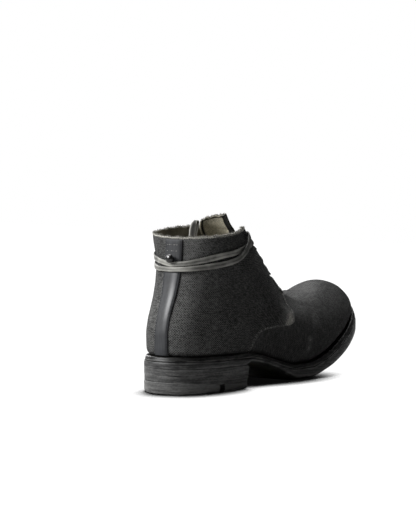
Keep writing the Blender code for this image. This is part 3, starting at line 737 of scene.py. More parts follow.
# Soft creases: the bend over the ball, folds at the ankle and the dent that the lace pulls in
CreaseRow = namedtuple("CreaseRow", "start_turn start_height end_turn end_height width depth")
CREASES = (
    CreaseRow(138, 6.5, 222, 6.5, 7.0, 3.0),
    CreaseRow(250, 3.2, 160, 6.15, 13.0, 6.5),
    CreaseRow(142, 6.3, 104, 3.4, 5.0, 2.4),
    CreaseRow(-114, 4.2, -148, 6.0, 6.0, 1.0),
    CreaseRow(104, 1.3, 110, 3.4, 5.0, 0.7),
    CreaseRow(98, 5.6, 132, 6.9, 5.0, 1.0),
    CreaseRow(-96, 5.4, -130, 6.8, 5.0, 1.0),
    CreaseRow(30, 5.6, 62, 6.6, 7.0, 0.8),
    CreaseRow(-28, 5.5, -64, 6.7, 7.0, 0.8),
    CreaseRow(70, 4.6, 96, 5.4, 6.0, 0.7),
    CreaseRow(-72, 4.4, -96, 5.3, 6.0, 0.7),
    CreaseRow(48, 7.9, 66, 8.9, 5.0, 0.8),
    CreaseRow(96, 8.2, 104, 9.0, 5.0, 0.9),
    CreaseRow(-60, 8.0, -72, 8.9, 5.0, 0.9),
    CreaseRow(24, 1.2, 52, 1.9, 6.0, 0.5),
)
CREASE_STEPS = 14
RIDGE_AWAY = 1.7
RIDGE_SHARE = 0.1


def creased(turn, height):
    """How far the canvas stands out from the last because of its creases."""
    points = last_point(turn, height)
    out = np.zeros(len(points))
    for row in CREASES:
        share = np.linspace(0, 1, CREASE_STEPS)
        turns = np.radians(row.start_turn + share * (row.end_turn - row.start_turn))
        line = last_point(wrapped(turns), row.start_height + share * (row.end_height - row.start_height))
        nearest = np.full(len(points), 1e9)
        at = np.zeros(len(points))
        for number, (start, end) in enumerate(zip(line, line[1:])):
            step = end - start
            t = np.clip((points - start) @ step / (step @ step), 0, 1)
            distance = np.linalg.norm(points - start - t[:, None] * step, axis=1)
            at = np.where(distance < nearest, (number + t) / (CREASE_STEPS - 1), at)
            nearest = np.minimum(nearest, distance)
        reach = nearest / row.width
        section = RIDGE_SHARE * bell(reach, RIDGE_AWAY, 1.0) - bell(reach, 0, 1.0)
        out += row.depth * np.sin(math.pi * at) * section
    return out


# Lace routes over the last, used here for the dents that the lace pulls into the canvas
RouteRow = namedtuple("RouteRow", "turn height lift width")
WRAP_UPPER = columns(
    RouteRow,
    (222, 8.47, 0.2, 4.7),
    (205, 8.48, 0.3, 4.7),
    (180, 8.48, 0.3, 4.7),
    (165, 8.47, 0.3, 4.7),
    (150, 8.46, 0.1, 4.7),
    (125, 8.36, 0.0, 5.4),
    (100, 8.18, 0.0, 5.8),
    (85, 8.06, 0.0, 5.8),
    (70, 7.95, 0.0, 5.8),
    (53, 7.84, 0.0, 5.8),
    (40, 7.68, 0.0, 5.8),
    (24, 7.42, 0.2, 5.2),
    (12, 7.22, 1.8, 4.7),
    (0, 7.14, 1.8, 4.7),
    (-12, 7.30, 1.8, 4.7),
    (-24, 7.44, 0.2, 5.0),
    (-50, 7.70, 0.0, 5.4),
    (-70, 7.82, 0.0, 5.4),
    (-90, 7.95, 0.0, 5.4),
    (-110, 8.15, 0.0, 5.4),
    (-122, 8.28, 0.0, 5.4),
)
WRAP_LOWER = columns(
    RouteRow,
    (154, 8.20, 0.2, 4.7),
    (166, 8.19, 0.3, 4.7),
    (180, 8.19, 0.3, 4.7),
    (195, 8.19, 0.3, 4.7),
    (210, 8.18, 0.3, 4.7),
    (225, 8.08, 0.2, 4.7),
    (240, 7.95, 0.0, 5.0),
    (255, 7.78, 0.0, 5.2),
    (270, 7.58, 0.0, 5.4),
    (290, 7.44, 0.0, 5.4),
    (310, 7.30, 0.0, 5.4),
    (334, 6.98, 0.2, 5.0),
    (347, 6.83, 1.8, 4.7),
    (360, 6.79, 1.8, 4.7),
    (372, 6.86, 1.8, 4.7),
    (384, 7.02, 0.2, 5.2),
    (400, 7.28, 0.0, 5.8),
    (412, 7.46, 0.2, 5.8),
    (426, 7.68, 1.9, 5.8),
    (438, 7.92, 2.3, 5.8),
    (452, 8.24, 2.3, 5.8),
    (468, 8.51, 1.9, 5.6),
    (490, 8.68, 0.6, 5.0),
    (510, 8.72, 0.0, 4.7),
)
LACE_DENT = 0.5
DENT_HEIGHT = 0.22
DENT_RUN_OUT = 6.0
# The rows of each route where the lace lies on the quarter
LAID = ((WRAP_UPPER, slice(4, None)), (WRAP_LOWER, slice(5, 18)))


def lace_dent(turn, height):
    out = np.zeros(len(turn))
    degrees = np.degrees(turn)
    for route, rows in LAID:
        turns = route.turn[rows]
        turns = turns - 360.0 * (turns.mean() > 180)
        order = np.argsort(turns)
        line = np.interp(degrees, turns[order], route.height[rows][order])
        low, high = turns.min(), turns.max()
        near = soft_step(degrees, low - DENT_RUN_OUT, low) * soft_step(-degrees, -high - DENT_RUN_OUT, -high)
        out -= LACE_DENT * near * bell(height, line, DENT_HEIGHT)
    return out


CLOTH_LEVEL = 4.0
cloth_turns = np.linspace(-math.pi, math.pi, 361)
cloth_line = last_point(cloth_turns, CLOTH_LEVEL)
cloth_run = run_along(cloth_line)


def cloth_place(turn, height):
    """Metres along the threads of the canvas, round the boot and up it."""
    around = np.interp(turn, cloth_turns, cloth_run)
    up = through(LEVELS, LAST.back_rise, height)
    return np.column_stack([around, up]) * MM


RAW_DARK = (0.04, 0.039, 0.035)
RAW_LIGHT = (0.37, 0.36, 0.325)


def canvas(name, dark, light, thread, nap):
    """Coarse waxed canvas: a plain weave with slubs, rubbed grey on its crowns and at its edges. A mark adds
    real wear and painted light and shade.
    """
    finish = Finish(name, 0.8, Specular_IOR_Level=0.12)
    cloth = finish.cloth()
    wander = cloth.grain((12, 12, 12), 2.0) * 0.8
    around = cloth.part("X") / (thread * MM) + wander
    up = cloth.part("Y") / (thread * MM) + wander
    weave = around.math("SINE", around * math.pi) * up.math("SINE", up * math.pi)
    crown = weave.math("ABSOLUTE", weave)
    weft = cloth.grain((6, 0.9 * thread, 1), 2.0, 0.6)
    warp = cloth.grain((0.9 * thread, 5, 1), 2.0, 0.6)
    fluff = finish.place.grain((0.7, 0.7, 0.7), 3.0, 0.7)
    cloud = finish.place.grain((17, 17, 17), 4.0, 0.6)
    over = (weave * 0.5 + 0.5).step(0.3, 0.7)
    streaks = weft.step(0.36, 0.64) * 0.4 + warp.step(0.36, 0.64) * 0.28
    threads = streaks + over * 0.55 + crown * 0.2 + fluff * nap
    tone = threads * 1.1 + (cloud - 0.5) * 0.6 + finish.mark("worn") - 0.62
    cloth_colour = tone.step(0.0, 1.0).blend(dark, light)
    frayed = (finish.mark("pale") + (fluff - 0.5) * 0.9).step(0.72, 0.98)
    finish.colour(frayed.blend(cloth_colour, fluff.step(0.3, 0.7).blend(RAW_DARK, RAW_LIGHT)))
    finish.roughness(0.72 + 0.2 * cloud)
    finish.bump(crown * 0.5 + weft * 0.5 + warp * 0.35 + fluff * 0.4, 0.5, 0.8)
    return finish


QUARTER_COLOURS = ((0.004, 0.004, 0.0039), (0.085, 0.085, 0.083))
VAMP_COLOURS = ((0.005, 0.005, 0.005), (0.065, 0.065, 0.064))
quarter_canvas = canvas("quarter_canvas", *QUARTER_COLOURS, 1.1, 0.12)
vamp_canvas = canvas("vamp_canvas", *VAMP_COLOURS, 0.9, 0.3)

raw_edge = Finish("raw_canvas_edge", 0.95, Specular_IOR_Level=0.1)
edge_fluff = raw_edge.place.grain((0.9, 0.9, 0.9), 3.0, 0.7)
edge_patches = raw_edge.place.grain((6, 6, 6), 2.0)
edge_tone = edge_fluff.step(0.4, 0.62) * 0.7 + edge_patches.step(0.38, 0.66) * 0.3
edge_tone = edge_tone * raw_edge.mark("pale")
raw_edge.colour(edge_tone.blend((0.010, 0.010, 0.0095), RAW_LIGHT))
raw_edge.bump(edge_fluff, 0.6)

COTTON_COLOURS = ((0.08, 0.076, 0.058), (0.33, 0.31, 0.25))
cotton = plain_cloth("cotton_lining", COTTON_COLOURS, 0.92, 0.1, 1.0, (16, 16, 16), 0.45, 0.3, 0.7)

QUARTER_THICKNESS = 2.6
QUARTER_CORNER = np.array([148.0, 60.0])
FLAP_RISE = 0.8
FLAP_OUT = 1.2
FLAP_TURN = 118.0
FLAP_SPREAD = 14.0
FEATHER_TUCK = 1.5
FEATHER_LEVELS = 0.3
WaveRow = namedtuple("WaveRow", "size waves start")
COLLAR_WAVES = (WaveRow(0.25, 23, 0.0), WaveRow(0.1, 57, 1.0), WaveRow(0.15, 131, 2.0))


def ragged(x, waves):
    """An uneven cut edge."""
    return sum(row.size * np.sin(row.waves * x + row.start) for row in waves)


def quarter_spot(across, up):
    """Turn and height of a share across the quarter, inner front edge to outer front edge."""
    height = np.interp(up, row_shares, edge_heights)
    side = 2 * across - 1
    turn = np.where(side >= 0, side * front_turn(height, 1), side * front_turn(height, -1))
    return turn, height


def quarter_place(across, up):
    turn, height = quarter_spot(across, up)
    out = QUARTER_STEP + creased(turn, height) + lace_dent(turn, height)
    flap = soft_step(height, 8.4, COLLAR_LEVEL) * bell(np.degrees(turn), FLAP_TURN, FLAP_SPREAD)
    out = out + FLAP_OUT * flap - FEATHER_TUCK * bell(height, 0, FEATHER_LEVELS)
    points = on_last(turn, height, out)
    points[:, 2] += soft_step(height, 8.6, COLLAR_LEVEL) * ragged(turn, COLLAR_WAVES) + FLAP_RISE * flap
    return points


def from_corner(turn, height):
    """Distance from the quarter's front corner, seen from the side."""
    return np.linalg.norm(last_point(turn, height)[:, 1:] - QUARTER_CORNER, axis=1)


def quarter_wear_and_painted_shade(across, up):
    """Grey where the canvas is rubbed: the back, its front corner and along its raw edges. Painted shade
    makes both sides a little darker and the bottom dark, where the canvas tucks in to the welt.
    """
    turn, height = quarter_spot(across, up)
    degrees = np.degrees(turn)
    back = 0.4 * bell(degrees, 16, 34) - 0.06 * soft_step(np.abs(degrees), 60, 110)
    corner = 0.8 * (turn > 0) * bell(from_corner(turn, height), 0, 10)
    edge = np.minimum(front_turn(height, 1) - turn, turn + front_turn(height, -1))
    rim = 0.4 * bell(np.degrees(edge), 0, 1.3) + 0.25 * bell(height, COLLAR_LEVEL, 0.12)
    return back + corner + rim - 0.6 * bell(height, 0, 0.35)


def quarter_pale(across, up):
    """The collar's raw edge frays pale, and the lower front corner is scratched through to pale threads."""
    turn, height = quarter_spot(across, up)
    edge = np.degrees(front_turn(height, 1) - turn)
    scratched = 0.72 * bell(from_corner(turn, height), 0, 13) * bell(edge, 0, 9)
    return 0.3 + 0.7 * soft_step(height, 8.81, 8.94) + scratched


def eyelet_turn(height):
    return turn_at_width(height, through(THROAT.height, THROAT.half_gap, height) + EYELET_SETBACK)[0]


def punch(bm, place, radius):
    """A round hole in a cloth grid."""
    place = Vector(place)
    inside = [v for v in bm.verts if (v.co - place).length < radius]
    bmesh.ops.delete(bm, geom=inside, context="VERTS")
    for vert in bm.verts:
        offset = vert.co - place
        if vert.is_boundary and offset.length < 2.2 * radius:
            vert.co = place + offset.normalized() * radius


def give_thickness(piece, thickness):
    """Cloth with a lining inside and a raw edge round it."""
    wall = piece.modifiers.new("wall", "SOLIDIFY")
    wall.thickness = thickness * MM
    wall.offset = -1.0
    wall.use_even_offset = False
    wall.material_offset = 2
    wall.material_offset_rim = 1


quarter_bm = shaped_grid(
    300,
    110,
    quarter_place,
    {
        "cloth": lambda a, u: cloth_place(*quarter_spot(a, u)),
        "worn": quarter_wear_and_painted_shade,
        "pale": quarter_pale,
    },
    weld=False,
)
for height in EYELET_LEVELS:
    for sign in (1, -1):
        turn = sign * eyelet_turn(height)
        punch(quarter_bm, in_frame(on_last(turn, height, QUARTER_STEP))[0], EYELET_RADIUS * MM)
quarter = finish_mesh(
    "quarters", quarter_bm, [quarter_canvas.material, raw_edge.material, cotton.material], 80
)
give_thickness(quarter, QUARTER_THICKNESS)
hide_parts("upper")

VAMP_TOP = 7.05
VAMP_TUCK = math.radians(7)
VAMP_UNDER = 0.5
RIDGE_POINTS = 81
ScuffRow = namedtuple("ScuffRow", "turn height size")
SCUFFS = (ScuffRow(103.5, 2.7, 3.5), ScuffRow(101.5, 2.0, 3.0))


def vamp_spot(across, up):
    height = VAMP_TOP * up
    start = front_turn(height, 1) - VAMP_TUCK
    end = 2 * math.pi - front_turn(height, -1) + VAMP_TUCK
    turn = start + across * (end - start)
    return np.where(turn > math.pi, turn - 2 * math.pi, turn), height


def vamp_place(across, up):
    turn, height = vamp_spot(across, up)
    edge = np.minimum(np.abs(turn) - front_turn(height, 1) + VAMP_TUCK, VAMP_TUCK) / VAMP_TUCK
    out = creased(turn, height) - VAMP_UNDER * (1 - soft_step(edge, 0.6, 1.0))
    return on_last(turn, height, out - FEATHER_TUCK * bell(height, 0, FEATHER_LEVELS))


def vamp_scuffs(across, up):
    """Two scuffs on the outer side."""
    points = last_point(*vamp_spot(across, up))
    scuffs = np.zeros(len(points))
    for row in SCUFFS:
        spot = last_point(math.radians(row.turn), row.height)
        scuffs += bell(np.linalg.norm(points - spot, axis=1), 0, row.size)
    return scuffs


def vamp_wear_and_painted_light(across, up):
    """Painted light on the dome of the toe, rubbed at the scuffs, and painted shade along the welt."""
    height = vamp_spot(across, up)[1]
    dome = 0.12 * bell(height, 5.2, 1.6)
    return dome + 0.6 * vamp_scuffs(across, up) - 0.6 * bell(height, 0, 0.45)


ridge = last_point(np.full(RIDGE_POINTS, math.pi), np.linspace(VAMP_TOP, 0.0, RIDGE_POINTS))


def vamp_cloth(across, up):
    """Metres along the vamp's threads, which run down both its sides and along the foot."""
    points = last_point(*vamp_spot(across, up))
    down = np.maximum(0, np.interp(points[:, 1], ridge[:, 1], ridge[:, 2]) - points[:, 2])
    return np.column_stack([np.abs(points[:, 0]) + down, points[:, 1]]) * MM


vamp = finish_mesh(
    "vamp",
    shaped_grid(
        230,
        80,
        vamp_place,
        {
            "cloth": vamp_cloth,
            "worn": vamp_wear_and_painted_light,
            "pale": lambda a, u: 0.2 + 0.65 * vamp_scuffs(a, u),
        },
        weld=False,
    ),
    [vamp_canvas.material, raw_edge.material, cotton.material],
    80,
)
give_thickness(vamp, WALL)
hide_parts("upper")

# Back strip: one long strip of smooth blue-grey leather sewn over the back seam, from the welt to just
# under the collar, with rounded cut edges.

STRIP_THICKNESS = 1.5
STRIP_BASE = QUARTER_STEP + GAP
StripRow = namedtuple("StripRow", "height half_width")
STRIP = columns(
    StripRow,
    (0.1, 7.2),
    (1.0, 7.2),
    (2.0, 7.0),
    (3.5, 7.2),
    (5.0, 8.0),
    (7.0, 9.0),
    (8.85, 9.2),
)
STRIP_LOW, STRIP_HIGH = STRIP.height[0], STRIP.height[-1]
STRIP_DIP = 0.5
STRIP_WALL = 1.0


def strip_spot(across, up):
    height = STRIP_LOW + up * (STRIP_HIGH - STRIP_LOW)
    side = 2 * across - 1
    turn = turn_at_width(height, np.abs(side) * through(STRIP.height, STRIP.half_width, height), False)
    return np.where(side >= 0, turn, -turn), height


def strip_dent(turn, height):
    """The strip follows the lace's dent and dips in above the heel."""
    return 0.8 * lace_dent(turn, height) - STRIP_DIP * bell(height, 2.6, 1.1)


def strip_place(across, up):
    turn, height = strip_spot(across, up)
    side = np.abs(2 * across - 1)
    end = np.minimum(up, 1 - up) * 100
    crown = 1 - 0.75 * side**14 - 0.5 * np.exp(-end * 1.2)
    groove = 0.3 * bell(side, 0.83, 0.05)
    out = STRIP_BASE + STRIP_THICKNESS * crown - groove + strip_dent(turn, height)
    return on_last(turn, height, out)


# A highlight is painted on the strip: a mark lightens its right half, a little above the middle, and makes
# it glossier there.
strip_leather = Finish("strip_leather_painted_highlight", 0.42, Specular_IOR_Level=0.26, Coat_Roughness=0.4)
strip_grain = strip_leather.place.grain((0.9, 0.9, 1.1), 3.0, 0.55)
strip_cloud = strip_leather.place.grain((10, 10, 24), 4.0)
strip_painted_highlight = strip_leather.mark("rub")
strip_streaks = strip_leather.place.grain((1.3, 1.3, 26), 3.0, 0.6)
strip_tone = strip_cloud.step(0.3, 0.7) * 0.3 + strip_grain * 0.15
strip_tone = strip_tone + strip_streaks.step(0.35, 0.65) * 0.3 + strip_painted_highlight * 0.6
strip_leather.colour(strip_tone.blend((0.005, 0.0053, 0.0059), (0.029, 0.0305, 0.0343)))
strip_leather.roughness(0.45 + 0.25 * strip_cloud + 0.1 * strip_grain - 0.1 * strip_painted_highlight)
strip_painted_highlight.feed(strip_leather.shader.inputs["Coat Weight"], strip_painted_highlight * 0.5)
strip_leather.bump(strip_grain * 0.6 + strip_cloud * 0.4, 0.22, 0.5)
back_strip = finish_mesh(
    "back_strip_dressed",
    shaped_grid(
        36,
        150,
        strip_place,
        {"rub": lambda a, u: bell(u, 0.55, 0.22) * bell(a, 0.72, 0.14)},
        weld=False,
    ),
    [strip_leather.material],
    60,
)
strip_wall = back_strip.modifiers.new("wall", "SOLIDIFY")
strip_wall.thickness = STRIP_WALL * MM
strip_wall.offset = -1.0
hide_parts("back_strip")

# Tongue: a curved sheet of the same canvas, sewn in under the throat and standing above the collar. Its
# cotton lining stops short of the outer edge, which stays dark, and is turned in along the others.

TONGUE_THICKNESS = 2.0
TONGUE_OUT = -WALL - 0.9
TONGUE_CORNER_DROP = 0.3
TONGUE_CORNER_START = 8.6
TONGUE_CURL = 0.7
TONGUE_WAVES = (WaveRow(0.35, 31, 0.0), WaveRow(0.25, 53, 1.0))
TongueRow = namedtuple("TongueRow", "height outer inner")
TONGUE = columns(
    TongueRow,
    (6.75, 15.5, 15.5),
    (7.0, 16.0, 16.5),
    (7.3, 17.0, 18.0),
    (7.65, 18.0, 20.0),
    (8.0, 17.5, 22.5),
    (8.35, 15.5, 24.5),
    (8.7, 12.0, 25.5),
    (9.0, 9.5, 25.0),
    (9.4, 8.5, 23.0),
    (9.8, 8.5, 20.5),
)


def tongue_spot(across, up):
    low, high = TONGUE.height[0], TONGUE.height[-1]
    height = low + up * (high - low)
    side = 1 - 2 * across
    outer = through(TONGUE.height, TONGUE.outer, height)
    inner = through(TONGUE.height, TONGUE.inner, height)
    width = np.where(side > 0, outer, inner) * np.abs(side)
    above = np.maximum(0, height - TONGUE_CORNER_START)
    height = height - TONGUE_CORNER_DROP * above * np.maximum(0, -side) ** 2
    turn = turn_at_width(height, width)
    return np.where(side >= 0, turn, -turn), height


def tongue_place(across, up):
    turn, height = tongue_spot(across, up)
    curl = TONGUE_CURL * soft_step(up, 0.6, 1.0) * np.sin(5 * across + 0.6)
    points = on_last(turn, height, TONGUE_OUT + curl)
    points[:, 2] += soft_step(up, 0.96, 1.0) * ragged(across, TONGUE_WAVES)
    return points


def tongue_hem(across, up):
    """A dark line where the lining is turned in along the inner edge and the top."""
    inner = 2 * across - 1
    along_side = soft_step(inner, 0.85, 0.89) * (1 - soft_step(inner, 0.94, 0.97))
    along_top = soft_step(up, 0.955, 0.966) * (1 - soft_step(up, 0.978, 0.987))
    return np.maximum(along_side, along_top)


def tongue_shade(across, up):
    """Painted light and shade: the lining is painted lighter towards its middle and lower down."""
    inner = 2 * across - 1
    return 0.6 * (1 - soft_step(inner, 0.2, 0.95)) + 0.4 * (1 - soft_step(up, 0.8, 0.98))


tongue_canvas = canvas("tongue_canvas", *QUARTER_COLOURS, 1.25, 0.12)
tongue_lining = Finish("tongue_lining", 0.92, Specular_IOR_Level=0.1)
lining_weave = tongue_lining.place.grain((1.1, 1.1, 1.1), 2.0, 0.6)
lining_stain = tongue_lining.place.grain((12, 12, 12), 4.0)
lining_speckle = lining_weave.step(0.35, 0.65) * 0.3 + lining_stain.step(0.3, 0.75) * 0.2
lining_tone = lining_speckle + tongue_lining.mark("shade") * 0.5
lining_colour = lining_tone.blend((0.05, 0.046, 0.028), (0.85, 0.79, 0.63))
bare_canvas = lining_weave.blend((0.004, 0.004, 0.004), (0.022, 0.022, 0.021))
ragged_side = tongue_lining.mark("side") + (tongue_lining.place.grain((1.8, 1.8, 1.8), 3.0) - 0.5) * 0.4
bare_share = ragged_side.math("MAXIMUM", ragged_side.step(0.10, 0.18), tongue_lining.mark("hem"))
tongue_lining.colour(bare_share.blend(lining_colour, bare_canvas))
tongue_lining.bump(lining_weave, 0.4, 0.8)
tongue = finish_mesh(
    "tongue_dressed",
    shaped_grid(
        60,
        110,
        tongue_place,
        {
            "cloth": lambda a, u: cloth_place(*tongue_spot(a, u)),
            "worn": lambda a, u: 0.15 * soft_step(u, 0.9, 1.0),
            "pale": lambda a, u: 0.35 + 0.65 * soft_step(u, 0.95, 1.0),
            "side": lambda a, u: 1 - 2 * a,
            "hem": tongue_hem,
            "shade": tongue_shade,
        },
        weld=False,
    ),
    [tongue_canvas.material, raw_edge.material, tongue_lining.material],
    80,
)
give_thickness(tongue, TONGUE_THICKNESS)
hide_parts("tongue")

# Stud: a turned metal button on a short neck, riveted through the back strip to hold the lace up. It is
# lacquered black and polished.

STUD_LEVEL = 7.5
STUD_SIDES = 40
StudRow = namedtuple("StudRow", "radius out")
STUD = columns(
    StudRow,
    (0.0, 0.0),
    (2.2, 0.0),
    (2.1, 0.5),
    (1.8, 1.2),
    (1.8, 2.2),
    (2.4, 2.7),
    (3.3, 3.0),
    (3.8, 3.5),
    (4.0, 4.2),
    (3.85, 4.9),
    (3.35, 5.6),
    (2.5, 6.15),
    (1.3, 6.5),
    (0.0, 6.6),
)
stud_lacquer = Finish("stud_lacquer", 0.2, Specular_IOR_Level=0.45)
stud_scratch = stud_lacquer.place.grain((0.8, 0.8, 0.8), 3.0)
stud_lacquer.colour(stud_scratch.step(0.45, 0.8).blend((0.002, 0.002, 0.002), (0.012, 0.012, 0.011)))
stud_lacquer.roughness(0.14 + 0.2 * stud_scratch)
stud_bm = bmesh.new()
chain = [stud_bm.verts.new((radius * MM, 0, out * MM)) for radius, out in zip(STUD.radius, STUD.out)]
edges = [stud_bm.edges.new(pair) for pair in zip(chain, chain[1:])]
bmesh.ops.spin(
    stud_bm,
    geom=chain + edges,
    cent=(0, 0, 0),
    axis=(0, 0, 1),
    angle=2 * math.pi,
    steps=STUD_SIDES,
    use_merge=True,
)
stud_out = Vector(last_normal(0.0, STUD_LEVEL)[0])
stud_place = in_frame(on_last(0.0, STUD_LEVEL, STRIP_BASE + STRIP_THICKNESS + GAP))[0]
stud_turn = Vector((0, 0, 1)).rotation_difference(stud_out).to_matrix().to_4x4()
bmesh.ops.transform(stud_bm, matrix=Matrix.Translation(stud_place) @ stud_turn, verts=stud_bm.verts)
bmesh.ops.remove_doubles(stud_bm, verts=stud_bm.verts, dist=0.00001)
bmesh.ops.recalc_face_normals(stud_bm, faces=stud_bm.faces)
stud = finish_mesh("lace_stud_dressed", stud_bm, [stud_lacquer.material], 40)
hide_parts("lace_stud")

# Lace: one flat leather lace. It crosses over the throat through four pairs of holes, then each end goes
# once round the ankle, under the stud, and back to the front. A spare loop is tucked in by the tongue.

LACE_WIDTH = 4.7
LACE_THICKNESS = 1.5
LACE_CLEARANCE = 0.1
LACE_REST = QUARTER_STEP + LACE_CLEARANCE + LACE_THICKNESS / 2
LACE_ROUND = 20
# Painted shade: how much darker the lace is painted towards the front and down its crease.
FRONT_SHADE = 0.6
LACE_CREASE = 0.65
LACE_SQUARE = 0.55
LOOP_WIDTH = 6.0
LOOP_PINCH = 2.4
LOOP_STEPS = 140
LOOP_ACROSS = np.array([0.81, 0.59, 0.0])
LoopRow = namedtuple("LoopRow", "x y z")
LACE_LOOP = columns(
    LoopRow,
    (-22.1, 79.7, 112.0),
    (-21.7, 80.3, 126.0),
    (-21.1, 81.1, 138.0),
    (-20.5, 81.9, 146.0),
    (-19.9, 83.5, 150.6),
    (-20.1, 85.9, 152.3),
    (-21.2, 88.0, 150.6),
    (-22.2, 88.4, 146.0),
    (-23.5, 87.8, 138.0),
    (-24.2, 86.9, 127.0),
)


def lace_finish(name, dark, light, plain, edge):
    """Matt lace leather with long fibres, with another tone from the edge mark: on the lace, painted shade
    along its edges, down its crease and towards the front; on the loop, painted highlight along its edges.
    """
    finish = Finish(name, 0.62, Specular_IOR_Level=0.3)
    along = finish.cloth()
    fibre = along.grain((9, 0.45, 1), 3.0, 0.6)
    patch = along.grain((16, 6, 1), 3.0)
    pores = finish.place.grain((0.6, 0.6, 0.6), 2.0)
    tone = (fibre * 0.45 + patch.step(0.3, 0.7) * 0.35 + pores * 0.2) * plain + finish.mark("edge") * edge
    finish.colour(tone.step(0.0, 0.85).blend(dark, light))
    finish.roughness(0.5 + 0.25 * patch)
    finish.bump(fibre * 0.7 + pores * 0.3, 0.2, 0.7)
    return finish


lace_leather = lace_finish("lace_leather_painted_shade", (0.02, 0.0197, 0.0175), (0.235, 0.232, 0.213), 1.0, -0.55)
# The loop gets a lighter copy of the lace leather, a painted light, and its edges are painted as highlights
# over a darker middle.
loop_leather_painted_light = lace_finish("loop_leather_painted_light", (0.014, 0.0136, 0.0125), (0.45, 0.44, 0.41), 0.3, 0.5)


def along_route(route, count):
    """Places on a smooth curve through a short table."""
    rows = range(len(route[0]))
    shares = np.linspace(0, len(rows) - 1, count)
    return np.column_stack([through(rows, column, shares) for column in route])


def lace_piece(name, places, normals, widths, finish=lace_leather, edge_start=0.9, shade=FRONT_SHADE):
    """A flat lace along its places, with rounded edges and a shallow crease down each face."""
    length = run_along(places)
    along = np.gradient(places, axis=0)
    side = np.cross(along, normals)
    side /= np.linalg.norm(side, axis=1)[:, None]
    out = np.cross(side, along)
    out /= np.linalg.norm(out, axis=1)[:, None]
    last = len(places) - 1

    def step_at(share):
        return np.rint(share * last).astype(int)

    def place(share, around):
        i = step_at(share)
        angle = 2 * math.pi * around
        reach = np.sign(np.cos(angle)) * np.abs(np.cos(angle)) ** LACE_SQUARE
        rise = np.sign(np.sin(angle)) * np.abs(np.sin(angle)) ** 0.6
        rise = rise * (1 - 0.08 * bell(reach, 0, 0.2))
        wave = 0.03 * np.sin(length[i] / 3.1) + 0.03 * np.sin(length[i] / 1.3 + 1.0)
        half = widths[i] / 2 * (1 + wave * 0.5)
        flat = (half * reach)[:, None] * side[i] + (LACE_THICKNESS / 2 * rise)[:, None] * out[i]
        return places[i] + flat

    def cloth(share, around):
        i = step_at(share)
        return np.column_stack([length[i], widths[i] * np.abs(2 * around - 1)]) * MM

    # The edge mark: the rounded edges, plus, scaled by shade, the crease and the stretch towards the front;
    # the lace finish paints these darker as shade, the loop's finish lighter as highlight.
    def edge(share, around):
        reach = np.abs(np.cos(2 * math.pi * around)) ** LACE_SQUARE
        i = step_at(share)
        middle = LACE_CREASE * bell(reach, 0, 0.12) + soft_step(places[i, 1], 50, 85)
        return soft_step(reach, edge_start, 1.0) + shade * middle

    bm = shaped_grid(last, LACE_ROUND, place, {"cloth": cloth, "edge": edge}, fill=True)
    piece = finish_mesh(name, bm, [finish.material], 70)
    return piece, length[-1]


def on_boot(route, count):
    """Places, facings and widths of a lace laid on the boot along a route."""
    turn, height, lift, width = along_route(route, count).T
    turn = wrapped(np.radians(turn))
    return on_last(turn, height, LACE_REST + lift), last_normal(turn, height), width


WRAP_STEPS = 320
for name, route in (("lace_wrap_upper", WRAP_UPPER), ("lace_wrap_lower", WRAP_LOWER)):
    places, normals, widths = on_boot(route, WRAP_STEPS)
    wrap, length = lace_piece(name + "_dressed", places, normals, widths)
    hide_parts(name)
    path = in_frame(places)
    length * MM

places = along_route(LACE_LOOP, LOOP_STEPS)
facings = np.cross(LOOP_ACROSS, np.gradient(places, axis=0))
loop_widths = LOOP_WIDTH - LOOP_PINCH * bell(np.linspace(0, 1, LOOP_STEPS), 0.52, 0.09)
loop, length = lace_piece("lace_loop_dressed", places, facings, loop_widths, loop_leather_painted_light, 0.35, 0.0)
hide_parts("lace_loop")
path = in_frame(places)
length * MM

# Each bar comes up out of one hole, lies over the throat and goes down through the other
BAR_STEPS = 60
BAR_UNDER, BAR_OVER = 0.3, 1.5
BAR_SINK = 0.11
BAR_LOW = 0.5
BarRow = namedtuple("BarRow", "start_level start_side end_level end_side lift")
BARS = [BarRow(EYELET_LEVELS[0], 1, EYELET_LEVELS[0], -1, BAR_UNDER)]
for step, (low, high) in enumerate(zip(EYELET_LEVELS, EYELET_LEVELS[1:])):
    for side in (1, -1):
        lift = BAR_OVER if (step + (side > 0)) % 2 else BAR_UNDER
        BARS.append(BarRow(low, side, high, -side, lift))
for number, bar in enumerate(BARS):
    start = math.degrees(bar.start_side * eyelet_turn(bar.start_level)) % 360
    end = math.degrees(bar.end_side * eyelet_turn(bar.end_level)) % 360
    share = np.linspace(0, 1, BAR_STEPS)
    turn = wrapped(np.radians(start + share * (end - start)))
    height = bar.start_level + share * (bar.end_level - bar.start_level)
    from_end = np.minimum(share, 1 - share)
    sink = soft_step(from_end, 0.0, BAR_SINK)
    out = (1 - sink) * -WALL + sink * (LACE_REST - BAR_LOW) + bar.lift * soft_step(from_end, 0.1, 0.4)
    places, normals = on_last(turn, height, out), last_normal(turn, height)
    lace_bar, _ = lace_piece(f"lace_bar_{number}", places, normals, np.full(BAR_STEPS, LACE_WIDTH))
    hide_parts("lace_bars")

# Stitches: dark waxed thread down both sides of the strip, pale thread in two rows across its top and
# along the quarter's front edges. Each stitch is pulled down into the cloth at both ends.

STITCH_RADIUS = 0.33
STITCH_SUNK = 0.12


